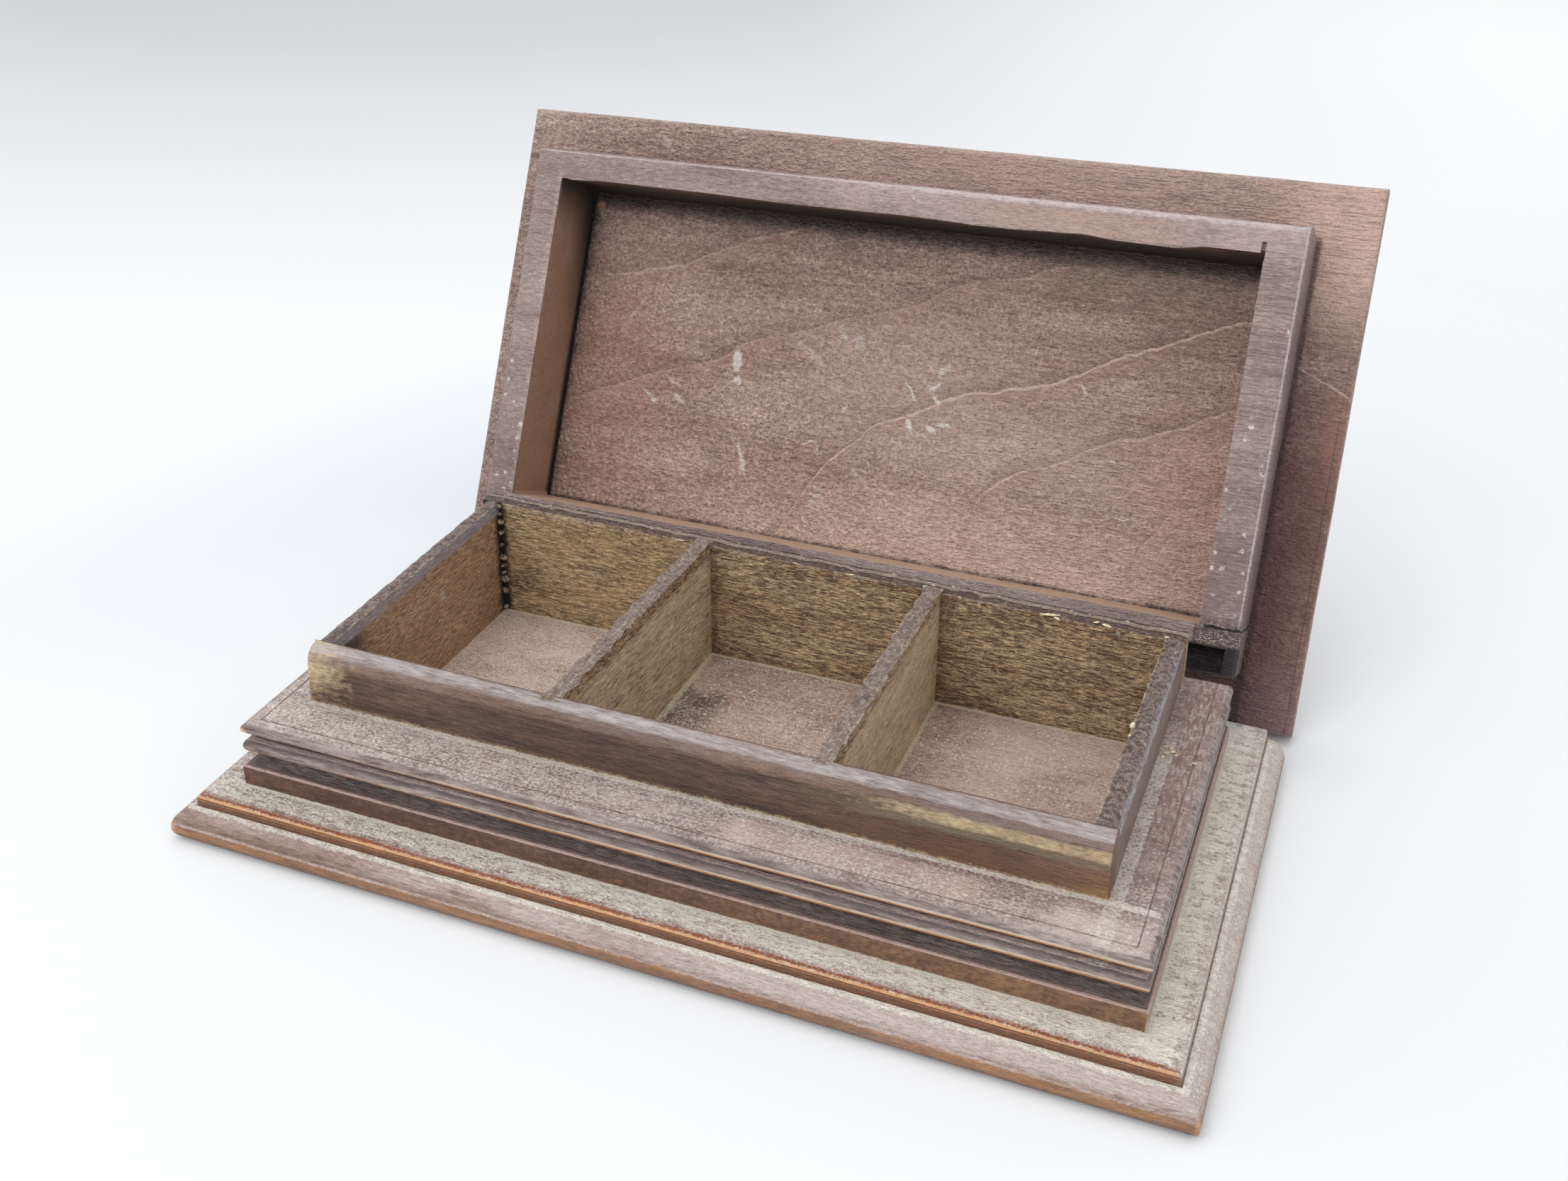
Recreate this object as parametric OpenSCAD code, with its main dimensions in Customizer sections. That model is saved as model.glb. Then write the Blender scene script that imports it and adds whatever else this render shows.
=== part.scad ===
// Wooden puzzle box: a three-compartment tray let into a moulded base, with a
// deep framed lid that swings back on a hidden wire hinge. Millimetres, +Z up,
// front of the box towards -Y. Origin: centre of the base board's underside.
// The lid is drawn open, as it rests with its back edge just off the table.

/* [Base board] */
// thickness of the moulded base board
base_t = 7.4; // [6.8:0.1:9]
// how far the base nose stands past the plinth on the front and both ends
base_out = 9.2; // [8:0.1:11]
// how far the flat top of the base runs past the plinth before it steps down
base_flat = 5.8; // [4.8:0.1:6]
// height of the small square step under the flat top
base_step = 1.8; // [0.8:0.1:2.2]
// radius of the bottom arris of the base nose
base_under = 1.8; // [1.2:0.1:2.4]
// depth of the shelf of base board left behind the body
back_shelf = 7.8; // [6:0.1:9]
// depth the tray walls are housed into the base board
housing = 1.4; // [0.8:0.1:2.4]

/* [Body] */
// length of the body over the plinth
body_len = 150; // [140:1:180]
// depth of the body from plinth face to back face
body_dep = 73.8; // [68:0.1:90]
// height of the plain plinth band
plinth_h = 3.9; // [3:0.1:6]
// height of the moulded board from plinth to ledge
cornice_h = 8.1; // [7.9:0.1:9]
// set back of the cornice nose and bead from the plinth face
nose_back = 0.3; // [0.1:0.05:0.6]
// radius of the cornice nose
nose_r = 1; // [0.8:0.05:1.1]
// height of the groove between the cornice nose and the bead
groove_h = 0.9; // [0.6:0.05:1.1]
// radius of the bead under the cornice
bead_r = 1.45; // [1.2:0.05:1.5]
// radius of the cove under the bead
cove_r = 2; // [1.6:0.1:2.2]
// distance of the fine line cut round the ledge from the plinth face
line_in = 2.9; // [2.6:0.1:4]
// width of the fine line
line_w = 0.3; // [0.2:0.05:0.4]
// depth of the fine line
line_dep = 0.3; // [0.2:0.05:0.5]

/* [Tray] */
// width of the ledge in front of the tray
ledge_front = 11; // [9:0.1:14]
// width of the ledge at the left end of the tray
ledge_left = 7.1; // [6.4:0.1:9]
// width of the ledge at the right end of the tray
ledge_right = 8.5; // [7.6:0.1:10]
// thickness of the tray walls
wall_t = 3.4; // [3:0.1:4.2]
// height of the tray walls above the ledge
tray_rise = 10.2; // [8:0.1:12]
// radius on the outer top edge of the front wall
front_round = 2.9; // [2.4:0.1:3]
// radius on the outer top edges of the two end walls
side_round = 1.8; // [1:0.1:2.6]
// thickness of the dividers
div_t = 3; // [2.4:0.1:3.6]
// clear length of the left compartment
left_room = 41.8; // [36:0.1:46]
// clear length of the right compartment
right_room = 38.9; // [34:0.1:44]
// depth each divider is let into the front and back walls
dado = 1.4; // [0.8:0.1:1.8]

/* [Lid] */
// clear gap between the lid frame and the sides of the tray
side_gap = 0.5; // [0.4:0.1:1]
// clear gap between the lid frame and the front of the tray
front_gap = 0.65; // [0.6:0.05:1]
// clear gap between the lid frame and the back of the tray
rear_gap = 0.6; // [0.4:0.05:1]
// clear gap under the lid frame when the lid is shut
seat_gap = 0.3; // [0.3:0.05:0.6]
// thickness of the lid frame
frame_t = 15.8; // [14:0.1:16]
// width of the left rail of the lid frame
left_rail = 6.3; // [5:0.1:6.3]
// width of the right rail of the lid frame
right_rail = 7.1; // [6:0.1:7.7]
// width of the front rail of the lid frame
front_rail = 5.9; // [5:0.1:8]
// width of the back rail of the lid frame
back_rail = 8.3; // [8:0.1:9.5]
// chamfer round the outer edge of the lid frame
frame_cham = 1.5; // [0.6:0.1:2]
// thickness of the lid top board
top_t = 6; // [5:0.1:6]
// how far the lid top board stands past the frame at both ends
top_side = 10.5; // [9:0.1:12]
// how far the lid top board stands past the frame at the front
top_front = 10.3; // [9:0.1:12]
// how far the lid top board stands past the frame at the back
top_back = 9.7; // [8:0.1:9.7]
// radius on the outside edge of the lid top board
top_round = 1.5; // [1.5:0.1:2.5]
// radius on the inside edge of the lid top board
top_ease = 0.8; // [0.4:0.1:1.2]

/* [Hinge] */
// angle the lid opens from shut to resting back
open_angle = 115.8; // [105:0.1:115.8]
// hinge axis forward of the back edge of the lid frame
axis_in = 2.6; // [2.5:0.05:3]
// hinge axis above the underside of the shut lid frame
axis_up = 0.4; // [0.3:0.05:0.6]
// radius of the groove in the back rail that clears the hinge eyes
groove_r = 2.1; // [2.05:0.05:2.3]
// radius of the hinge rod
rod_r = 0.8; // [0.6:0.05:0.85]
// how far the hinge rod stops short of each end of the tray
rod_in = 7; // [5:0.5:14]
// running clearance between the rod and the eyes it turns in
rod_clear = 0.05; // [0.03:0.01:0.08]
// radius of the wire the hinge eyes are bent from
wire_r = 0.45; // [0.35:0.05:0.45]
// length of eye shank driven into the wood
shank_in = 2.6; // [2:0.1:3]
// distance of the outer fixed eyes from the ends of the tray
eye_in = 19; // [16:1:24]
// sideways distance between a fixed eye and the lid eye beside it
eye_step = 6; // [4:1:8]

/* [Hidden] */
$fn = 96;
wire_fn = 24;                          // facets round a thin wire
eps = 0.01;                            // overlap of joined pieces of a profile
over = 1;                              // how far a cut runs past the face it opens

base_dep = base_out + body_dep + back_shelf;
y0 = base_out - base_dep / 2;          // plinth front face
y_base_back = base_dep / 2;            // back edge of the base board
y_body_back = y0 + body_dep;           // back face of body and tray
z_plinth = base_t + plinth_h;
z_ledge = z_plinth + cornice_h;
z_floor = base_t - housing;            // floor of the tray
z_tray = z_ledge + tray_rise;
x_body = body_len / 2;

tray_x0 = ledge_left - x_body;
tray_x1 = x_body - ledge_right;
tray_y0 = y0 + ledge_front;
tray_y1 = y_body_back;

nose_flat = 0.2;                       // least flat between the two rounds of the base nose
nose_r_up = min(base_out - base_flat, base_t - base_step - base_under - nose_flat);
cornice_z = z_ledge - nose_r;
bead_z = cornice_z - nose_r - groove_h - bead_r;
cove_z = bead_z - bead_r;
cove_lip = 0.1;                        // flat left outside the cove, and under it
core = nose_back + cove_r + 2 * cove_lip;  // depth of the flat core behind the mouldings

lid_z = z_ledge + seat_gap;            // underside of the shut frame
lid_y1 = tray_y1 + rear_gap + back_rail;
lid_y0 = tray_y0 - front_gap - front_rail;
div_left_x = tray_x0 + wall_t + left_room + div_t / 2;
div_right_x = tray_x1 - wall_t - right_room - div_t / 2;
open_x0 = tray_x0 - side_gap;
open_x1 = tray_x1 + side_gap;
open_y0 = tray_y0 - front_gap;
open_y1 = tray_y1 + rear_gap;
frame_x0 = open_x0 - left_rail;
frame_x1 = open_x1 + right_rail;
axis_y = lid_y1 - axis_in;
axis_z = lid_z + axis_up;

eye_r = rod_r + rod_clear + wire_r;    // mean radius of a fixed eye
grip_r = rod_r + wire_r;               // mean radius of an eye closed on the rod
shank_lean = 30;                       // slope of the fixed shanks
shank_run = (axis_y - y_body_back) / cos(shank_lean);
fixed_eyes = [tray_x0 + eye_in, (tray_x0 + tray_x1) / 2, tray_x1 - eye_in];
lid_eyes = [fixed_eyes[0] + eye_step, fixed_eyes[1] - eye_step, fixed_eyes[1] + eye_step, fixed_eyes[2] - eye_step];
// how far a moulded profile runs in from its edge: past the middle of the
// board and its back, but short of the opposite end
run = max(x_body + base_out, base_dep);

// prism along X of a profile drawn in (y, z)
module along_x(x0, x1) {
    translate([x0, 0, 0]) rotate([90, 0, 90]) linear_extrude(x1 - x0) children();
}

// prism along Y of a profile drawn in (x, z)
module along_y(ya, yb) {
    translate([0, yb, 0]) rotate([90, 0, 0]) linear_extrude(yb - ya) children();
}

module block(x0, x1, ya, yb, za, zb) {
    translate([x0, ya, za]) cube([x1 - x0, yb - ya, zb - za]);
}

// moulded edge of the base board, outwards to +u, plinth face at u = 0
module base_edge() {
    z_nose = base_t - base_step - nose_r_up;
    translate([-run, 0]) square([run + base_flat, base_t]);
    translate([-run, z_nose]) square([run + base_out - nose_r_up, nose_r_up]);
    translate([-run, base_under]) square([run + base_out, z_nose - base_under]);
    translate([-run, 0]) square([run + base_out - base_under, z_nose]);
    translate([base_out - base_under, base_under]) circle(base_under);
    intersection() {
        translate([base_out - nose_r_up, z_nose]) circle(nose_r_up);
        translate([base_out - nose_r_up - eps, z_nose]) square(nose_r_up + over);
    }
}

// moulded edge of the cornice board, outwards to +u, plinth face at u = 0
module cornice_edge() {
    difference() {
        union() {
            translate([-run, z_plinth]) square([run - core, cornice_h]);
            translate([-core - eps, cornice_z - nose_r]) square([core + eps - nose_back - nose_r, 2 * nose_r]);
            translate([-nose_back - nose_r, cornice_z]) circle(nose_r);
            translate([-core - eps, bead_z - bead_r]) square([core + eps - nose_back - bead_r, 2 * bead_r]);
            translate([-nose_back - bead_r, bead_z]) circle(bead_r);
            cove();
        }
        translate([-line_in - line_w / 2, z_ledge - line_dep]) square([line_w, line_dep + over]);
    }
}

// hollow moulding under the bead
module cove() {
    cove_floor = z_plinth + cove_lip;
    difference() {
        translate([-core - eps, z_plinth]) square([core + eps - nose_back - cove_lip, cove_z - z_plinth + eps]);
        translate([-nose_back - cove_lip, cove_floor + cove_r]) circle(cove_r);
        translate([-nose_back - cove_lip - cove_r, cove_floor + cove_r]) square(cove_r + over);
    }
}

// front and both ends moulded, back cut square
module moulded(ya, yb) {
    intersection() {
        along_x(-run, run) translate([ya, 0]) mirror([1, 0]) children();
        along_y(-run, yb) union() {
            translate([x_body, 0]) children();
            mirror([1, 0]) translate([x_body, 0]) children();
        }
    }
}

module base_board() {
    color("#8a7568")
    difference() {
        moulded(y0, y_base_back) base_edge();
        block(tray_x0, tray_x1, tray_y0, tray_y1, z_floor, base_t + over);
    }
}

module plinth_board() {
    color("#5d3d2c")
    difference() {
        block(-x_body, x_body, y0, y_body_back, base_t, z_plinth);
        block(tray_x0, tray_x1, tray_y0, tray_y1 + over, base_t - over, z_plinth + over);
    }
}

module cornice_board() {
    color("#806c66")
    difference() {
        moulded(y0, y_body_back) cornice_edge();
        block(tray_x0, tray_x1, tray_y0, tray_y1 + over, z_plinth - over, z_ledge + over);
    }
}

module divider_slots() {
    for (x = [div_left_x, div_right_x])
        block(x - div_t / 2, x + div_t / 2, tray_y0 + wall_t - dado, tray_y1 - wall_t + dado, z_floor - over, z_tray + over);
}

// section of a tray wall, its outer face at u = 0 and its outer top edge rounded
module wall_section(r) {
    translate([0, z_floor]) square([wall_t, z_tray - r - z_floor]);
    translate([r, z_floor]) square([wall_t - r, z_tray - z_floor]);
    translate([r, z_tray - r]) intersection() {
        circle(r);
        translate([-r, 0]) square([r + eps, r]);
    }
}

module tray_front_wall() {
    color("#6d5138")
    difference() {
        along_x(tray_x0, tray_x1) translate([tray_y0, 0]) wall_section(front_round);
        divider_slots();
    }
}

module tray_back_wall() {
    color("#74593c")
    difference() {
        block(tray_x0, tray_x1, tray_y1 - wall_t, tray_y1, z_floor, z_tray);
        divider_slots();
        for (x = fixed_eyes) fixed_shank(x);
    }
}

module end_wall() {
    along_y(tray_y0 + wall_t, tray_y1 - wall_t) wall_section(side_round);
}

module tray_left_wall() {
    color("#74593c")
    translate([tray_x0, 0, 0]) end_wall();
}

module tray_right_wall() {
    color("#74593c")
    translate([tray_x1, 0, 0]) mirror([1, 0, 0]) end_wall();
}

module divider(x) {
    block(x - div_t / 2, x + div_t / 2, tray_y0 + wall_t - dado, tray_y1 - wall_t + dado, z_floor, z_tray);
}

module tray_divider_left() { color("#7a624a") divider(div_left_x); }

module tray_divider_right() { color("#7a624a") divider(div_right_x); }

// swings a part drawn shut back to its open resting place
module opened() {
    translate([0, axis_y, axis_z]) rotate([-open_angle, 0, 0]) translate([0, -axis_y, -axis_z]) children();
}

// rectangle a wide and h high with its two lower corners chamfered
module chamfered(a, b, z, h, c) {
    polygon([[a + c, z], [b - c, z], [b, z + c], [b, z + h], [a, z + h], [a, z + c]]);
}

// rectangle with eased lower and rounded upper corners
module rounded(a, b, z, h, lo, up) {
    translate([a, z + lo]) square([b - a, h - lo - up]);
    translate([a + lo, z]) square([b - a - 2 * lo, h / 2]);
    translate([a + up, z + h / 2]) square([b - a - 2 * up, h / 2]);
    for (u = [a + lo, b - lo]) translate([u, z + lo]) circle(lo);
    for (u = [a + up, b - up]) translate([u, z + h - up]) circle(up);
}

module lid_top_board() {
    x0 = frame_x0 - top_side;
    x1 = frame_x1 + top_side;
    ya = lid_y0 - top_front;
    yb = lid_y1 + top_back;
    zt = lid_z + frame_t;
    color("#8c6a62")
    opened() intersection() {
        along_x(x0, x1) rounded(ya, yb, zt, top_t, top_ease, top_round);
        along_y(ya, yb) rounded(x0, x1, zt, top_t, top_ease, top_round);
    }
}

module lid_frame() {
    color("#7d6862")
    opened() difference() {
        intersection() {
            along_x(frame_x0, frame_x1) polygon([
                [lid_y0 + frame_cham, lid_z], [lid_y1, lid_z],
                [lid_y1, lid_z + frame_t], [lid_y0, lid_z + frame_t], [lid_y0, lid_z + frame_cham]]);
            along_y(lid_y0, lid_y1) chamfered(frame_x0, frame_x1, lid_z, frame_t, frame_cham);
        }
        block(open_x0, open_x1, open_y0, open_y1, lid_z - over, lid_z + frame_t + over);
        translate([frame_x0 - over, axis_y, axis_z]) rotate([0, 90, 0]) cylinder(r = groove_r, h = frame_x1 - frame_x0 + 2 * over);
        for (x = lid_eyes) lid_shank(x);
    }
}

// ring of wire round the hinge axis
module ring(x, r) {
    translate([x, axis_y, axis_z]) rotate([0, 90, 0]) rotate_extrude() translate([r, 0]) circle(wire_r, $fn = wire_fn);
}

module fixed_shank(x) {
    translate([x, axis_y, axis_z]) rotate([90 + shank_lean, 0, 0])
        translate([0, 0, eye_r]) cylinder(r = wire_r, h = shank_run - eye_r + shank_in, $fn = wire_fn);
}

module lid_shank(x) {
    translate([x, axis_y, axis_z + grip_r]) cylinder(r = wire_r, h = groove_r - grip_r + shank_in, $fn = wire_fn);
}

module hinge_rod() {
    color("#8d8a84")
    translate([tray_x0 + rod_in, axis_y, axis_z]) rotate([0, 90, 0])
        cylinder(r = rod_r, h = tray_x1 - tray_x0 - 2 * rod_in, $fn = 2 * wire_fn);
}

module fixed_hinge_eyes() {
    color("#8d8a84")
    for (x = fixed_eyes) {
        ring(x, eye_r);
        fixed_shank(x);
    }
}

module lid_hinge_eyes() {
    color("#8d8a84")
    opened() for (x = lid_eyes) {
        ring(x, grip_r);
        lid_shank(x);
    }
}

base_board();
plinth_board();
cornice_board();
tray_front_wall();
tray_back_wall();
tray_left_wall();
tray_right_wall();
tray_divider_left();
tray_divider_right();
lid_top_board();
lid_frame();
hinge_rod();
fixed_hinge_eyes();
lid_hinge_eyes();
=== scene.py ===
import bpy
import bmesh
import math
from mathutils import Matrix, Vector


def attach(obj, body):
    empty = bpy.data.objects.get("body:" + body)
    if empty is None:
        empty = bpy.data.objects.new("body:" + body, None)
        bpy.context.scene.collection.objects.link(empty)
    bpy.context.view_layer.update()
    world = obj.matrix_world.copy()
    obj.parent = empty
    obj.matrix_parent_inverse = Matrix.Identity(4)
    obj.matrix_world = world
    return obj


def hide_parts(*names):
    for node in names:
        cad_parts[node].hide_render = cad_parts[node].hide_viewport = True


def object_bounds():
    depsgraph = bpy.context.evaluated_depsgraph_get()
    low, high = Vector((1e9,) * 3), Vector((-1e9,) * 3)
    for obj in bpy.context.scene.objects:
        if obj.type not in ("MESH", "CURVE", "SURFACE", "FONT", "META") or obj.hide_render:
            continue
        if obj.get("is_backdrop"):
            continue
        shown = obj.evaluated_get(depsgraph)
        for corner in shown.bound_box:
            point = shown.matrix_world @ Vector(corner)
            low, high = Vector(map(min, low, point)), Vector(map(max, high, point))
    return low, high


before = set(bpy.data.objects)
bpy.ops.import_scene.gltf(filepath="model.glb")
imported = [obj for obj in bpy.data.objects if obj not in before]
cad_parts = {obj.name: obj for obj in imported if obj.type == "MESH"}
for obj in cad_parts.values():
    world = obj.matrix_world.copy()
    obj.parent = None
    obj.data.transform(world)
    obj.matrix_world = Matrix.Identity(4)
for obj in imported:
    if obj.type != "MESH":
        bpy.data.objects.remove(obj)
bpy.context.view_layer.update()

# ---------------------------------------------------------------- Base board
# The board that the box stands on: one piece of close-grained wood with a step
# and a rounded nose run round the front and both ends, sawn square behind. Its
# housed middle is the floor of the tray. Stained brown, rubbed and very dusty.
mm = 0.001
base_half = 75.0    # half the length of the box at the plinth line
base_front = -36.2    # the plinth line at the front
base_back = 45.4
nose = 9.2    # how far the base's nose stands past the plinth line
floor_z = 6.0
tray = (-67.9, 66.5, -25.2, 37.6)    # the tray's outer faces: left, right, front and back
# the moulding from the bottom up, each corner as how far past the plinth line and how high
base_profile = [(7.4, 0.0), (8.1, 0.14), (8.66, 0.53), (9.05, 1.1), (nose, 1.8), (nose, 2.2), (9.11, 3.0),
                (8.86, 3.72), (8.43, 4.4), (7.85, 4.98), (7.1, 5.35), (6.3, 5.56),    # rounded nose
                (6.0, 5.58), (5.88, 5.45), (5.82, 5.62),    # scored line
                (5.8, 6.2), (5.78, 6.95), (5.68, 7.26), (5.42, 7.4)]    # step and its eased arris


def to_linear(code):
    """An sRGB hex colour as linear red, green, blue and alpha."""
    parts = [int(code[i:i + 2], 16) / 255 for i in (1, 3, 5)]
    return tuple(p / 12.92 if p <= 0.04045 else ((p + 0.055) / 1.055) ** 2.4 for p in parts) + (1.0,)


def choose(obj=None):
    """Closes the piece that is open, and selects this piece alone or nothing."""
    if bpy.context.object and bpy.context.object.mode != "OBJECT":
        bpy.ops.object.mode_set(mode="OBJECT")
    bpy.ops.object.select_all(action="DESELECT")
    if obj:
        obj.select_set(True)
        bpy.context.view_layer.objects.active = obj


def start_edit(obj):
    """Opens this piece for shaping, with nothing picked."""
    choose(obj)
    bpy.ops.object.mode_set(mode="EDIT")
    bpy.ops.mesh.select_all(action="DESELECT")


def pick(obj, kind, test):
    """Picks faces, edges or corners by their middle and their span, both in millimetres."""
    bpy.ops.mesh.select_mode(type=kind)
    bpy.ops.mesh.select_all(action="DESELECT")
    cut = bmesh.from_edit_mesh(obj.data)
    for part in {"FACE": cut.faces, "EDGE": cut.edges, "VERT": cut.verts}[kind]:
        ends = [v.co / mm for v in ([part] if kind == "VERT" else part.verts)]
        low = Vector([min(e[i] for e in ends) for i in range(3)])
        high = Vector([max(e[i] for e in ends) for i in range(3)])
        if test((low + high) / 2, high - low):
            part.select_set(True)
    cut.select_flush_mode()
    bmesh.update_edit_mesh(obj.data)


def saw(obj, axis, places):
    """Saws loops into the open piece across one axis, so that wear can shape it."""
    across = [0, 0, 0]
    across[axis] = 1
    for place in places:
        at = [0, 0, 0]
        at[axis] = place * mm
        bpy.ops.mesh.select_all(action="SELECT")
        bpy.ops.mesh.bisect(plane_co=at, plane_no=across, use_fill=False)


def steps(start, end, pitch=2.4):
    """Even places between two ends, about a pitch apart."""
    count = max(1, round((end - start) / pitch))
    return [start + (end - start) * i / count for i in range(1, count)]


def block(name, x0, x1, y0, y1, z0, z1):
    """A squared block between these faces, opened for shaping."""
    choose()
    bpy.ops.mesh.primitive_cube_add(
        size=1, location=((x0 + x1) / 2 * mm, (y0 + y1) / 2 * mm, (z0 + z1) / 2 * mm),
        scale=((x1 - x0) * mm, (y1 - y0) * mm, (z1 - z0) * mm))
    obj = bpy.context.object
    obj.name = obj.data.name = name
    bpy.ops.object.transform_apply(location=True, rotation=True, scale=True)
    start_edit(obj)
    return obj


def moulded_board(name, profile, back):
    """A board moulded round its front and ends, up along the profile, and cut square behind."""
    choose()
    out, z = profile[0]
    spare = 20.0    # sawn off again, with the moulding along the back
    middle = (base_front + back + spare) / 2
    deep = (back + spare - base_front) / 2
    bpy.ops.mesh.primitive_plane_add(size=2, location=(0, middle * mm, z * mm))
    obj = bpy.context.object
    obj.name = obj.data.name = name
    obj.scale = ((base_half + out) * mm, (deep + out) * mm, 1)
    bpy.ops.object.transform_apply(location=True, rotation=True, scale=True)
    start_edit(obj)
    bpy.ops.mesh.select_all(action="SELECT")
    for next_out, next_z in profile[1:]:
        bpy.ops.mesh.extrude_region_move(TRANSFORM_OT_translate={"value": (0, 0, (next_z - z) * mm)})
        bpy.ops.transform.resize(value=((base_half + next_out) / (base_half + out),
                                        (deep + next_out) / (deep + out), 1),
                                 center_override=(0, middle * mm, next_z * mm))
        out, z = next_out, next_z
    bpy.ops.mesh.select_all(action="SELECT")
    bpy.ops.mesh.bisect(plane_co=(0, back * mm, 0), plane_no=(0, 1, 0), use_fill=True, clear_outer=True)
    bpy.ops.mesh.select_all(action="SELECT")
    bpy.ops.mesh.normals_make_consistent(inside=False)
    return obj


def cut_out(obj, x0, x1, y0, y1, z0, z1):
    """Takes a squared hollow out of a piece."""
    pare(obj, block("chisel", x0, x1, y0, y1, z0, z1))


def pare(obj, tool):
    """Takes the tool's shape out of the piece and puts the tool away."""
    choose(obj)
    cut = obj.modifiers.new("cut", "BOOLEAN")
    cut.operation = "DIFFERENCE"
    cut.solver = "EXACT"
    cut.object = tool
    bpy.ops.object.modifier_apply(modifier=cut.name)
    bpy.data.objects.remove(tool, do_unlink=True)


def wear(obj, depth, size, group="", direction="NORMAL"):
    """Leaves a surface uneven by this depth over bumps of this size, in millimetres."""
    choose(obj)
    uneven = bpy.data.textures.new(obj.name + "_wear", "CLOUDS")
    uneven.noise_scale = size * mm
    uneven.noise_depth = 2
    worn = obj.modifiers.new("worn", "DISPLACE")
    worn.texture = uneven
    worn.strength = depth * mm
    worn.mid_level = 0.5
    worn.direction = direction
    worn.vertex_group = group
    bpy.ops.object.modifier_apply(modifier=worn.name)


def gather(obj, name, weigh):
    """Names a group of corners with a weight from 0 to 1 given by their place in millimetres."""
    choose(obj)
    group = obj.vertex_groups.new(name=name)
    for corner in obj.data.vertices:
        weight = weigh(corner.co / mm)
        if weight > 0:
            group.add([corner.index], min(1.0, weight), "REPLACE")


def dress(obj, body, slot, nodes, *materials):
    """Closes a piece, smooths it, gives it its finish and sets it in the box."""
    choose(obj)
    bpy.ops.object.shade_smooth_by_angle(angle=math.radians(38))
    for material in materials:
        obj.data.materials.append(material)
    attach(obj, body)
    if nodes:
        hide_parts(*nodes)


def add(tree, kind, links=None, out=0, **settings):
    """Adds a node with its settings and links, and gives back one of its outputs."""
    node = tree.nodes.new("ShaderNode" + kind)
    for name, value in settings.items():
        setattr(node, name, value)
    for socket, value in (links or {}).items():
        if isinstance(value, bpy.types.NodeSocket):
            tree.links.new(value, node.inputs[socket])
        else:
            node.inputs[socket].default_value = value
    return node.outputs[out]


def new_material(name):
    """A new material, its node tree, and the place on the piece in millimetres."""
    material = bpy.data.materials.new(name)
    material.use_nodes = True
    tree = material.node_tree
    place = add(tree, "TexCoord", out="Object")
    return material, tree, add(tree, "VectorMath", {0: place, "Scale": 1 / mm}, operation="SCALE")


def cover(tree, *parts):
    """Parts multiplied together, as 0 to 1 over the surface. A part is a number, a measure, or a measure with
    the two values that it runs between and the cover at each, which are 0 and 1 where not given."""
    product = None
    for part in parts:
        if isinstance(part, tuple):
            measure, start, end, low, high = part + (0.0, 1.0)[len(part) - 3:]
            part = add(tree, "MapRange", {"Value": measure, "From Min": start, "From Max": end,
                                          "To Min": low, "To Max": high})
        product = part if product is None else add(tree, "Math", {0: product, 1: part}, operation="MULTIPLY")
    return product


def widest(tree, *parts):
    """The greatest of several covers, each given as a part of a cover."""
    greatest = cover(tree, parts[0])
    for part in parts[1:]:
        greatest = add(tree, "Math", {0: greatest, 1: cover(tree, part)}, operation="MAXIMUM")
    return greatest


def band(tree, value, start, end, soft):
    """1 between two values of a measure, fading over a soft width on both sides."""
    rise = add(tree, "MapRange", {"Value": value, "From Min": start - soft, "From Max": start},
               interpolation_type="SMOOTHSTEP")
    fall = add(tree, "MapRange", {"Value": value, "From Min": end + soft, "From Max": end},
               interpolation_type="SMOOTHSTEP")
    return cover(tree, rise, fall)


def spot(tree, place, middle, size, turn=0.0):
    """How far a place lies from the middle of an oval, as 1 on its rim, in millimetres and degrees."""
    inside = add(tree, "Mapping", {"Vector": place, "Location": middle, "Scale": size,
                                   "Rotation": (0, 0, math.radians(turn))}, vector_type="TEXTURE")
    return add(tree, "VectorMath", {0: inside}, operation="LENGTH", out="Value")


def cloudy(tree, place, size, detail=2.0, roughness=0.55):
    """A cloudy pattern whose lumps have this size in millimetres, one number or three."""
    sizes = size if isinstance(size, tuple) else (size, size, size)
    scaled = add(tree, "VectorMath", {0: place, 1: [1 / each for each in sizes]}, operation="MULTIPLY")
    return add(tree, "TexNoise", {"Vector": scaled, "Scale": 1.0, "Detail": detail, "Roughness": roughness})


def coat(tree, colour, code, *parts):
    """Lays one colour over another where the cover made of these parts is."""
    return add(tree, "Mix", {0: cover(tree, *parts), 6: colour, 7: to_linear(code)}, out=2, data_type="RGBA")


def build_up(tree, height, *layers):
    """Adds layers to the height of a surface, each a cover and how much it stands up there."""
    for layer, much in layers:
        height = add(tree, "Math", {0: layer, 1: much, 2: height}, operation="MULTIPLY_ADD")
    return height


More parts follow.
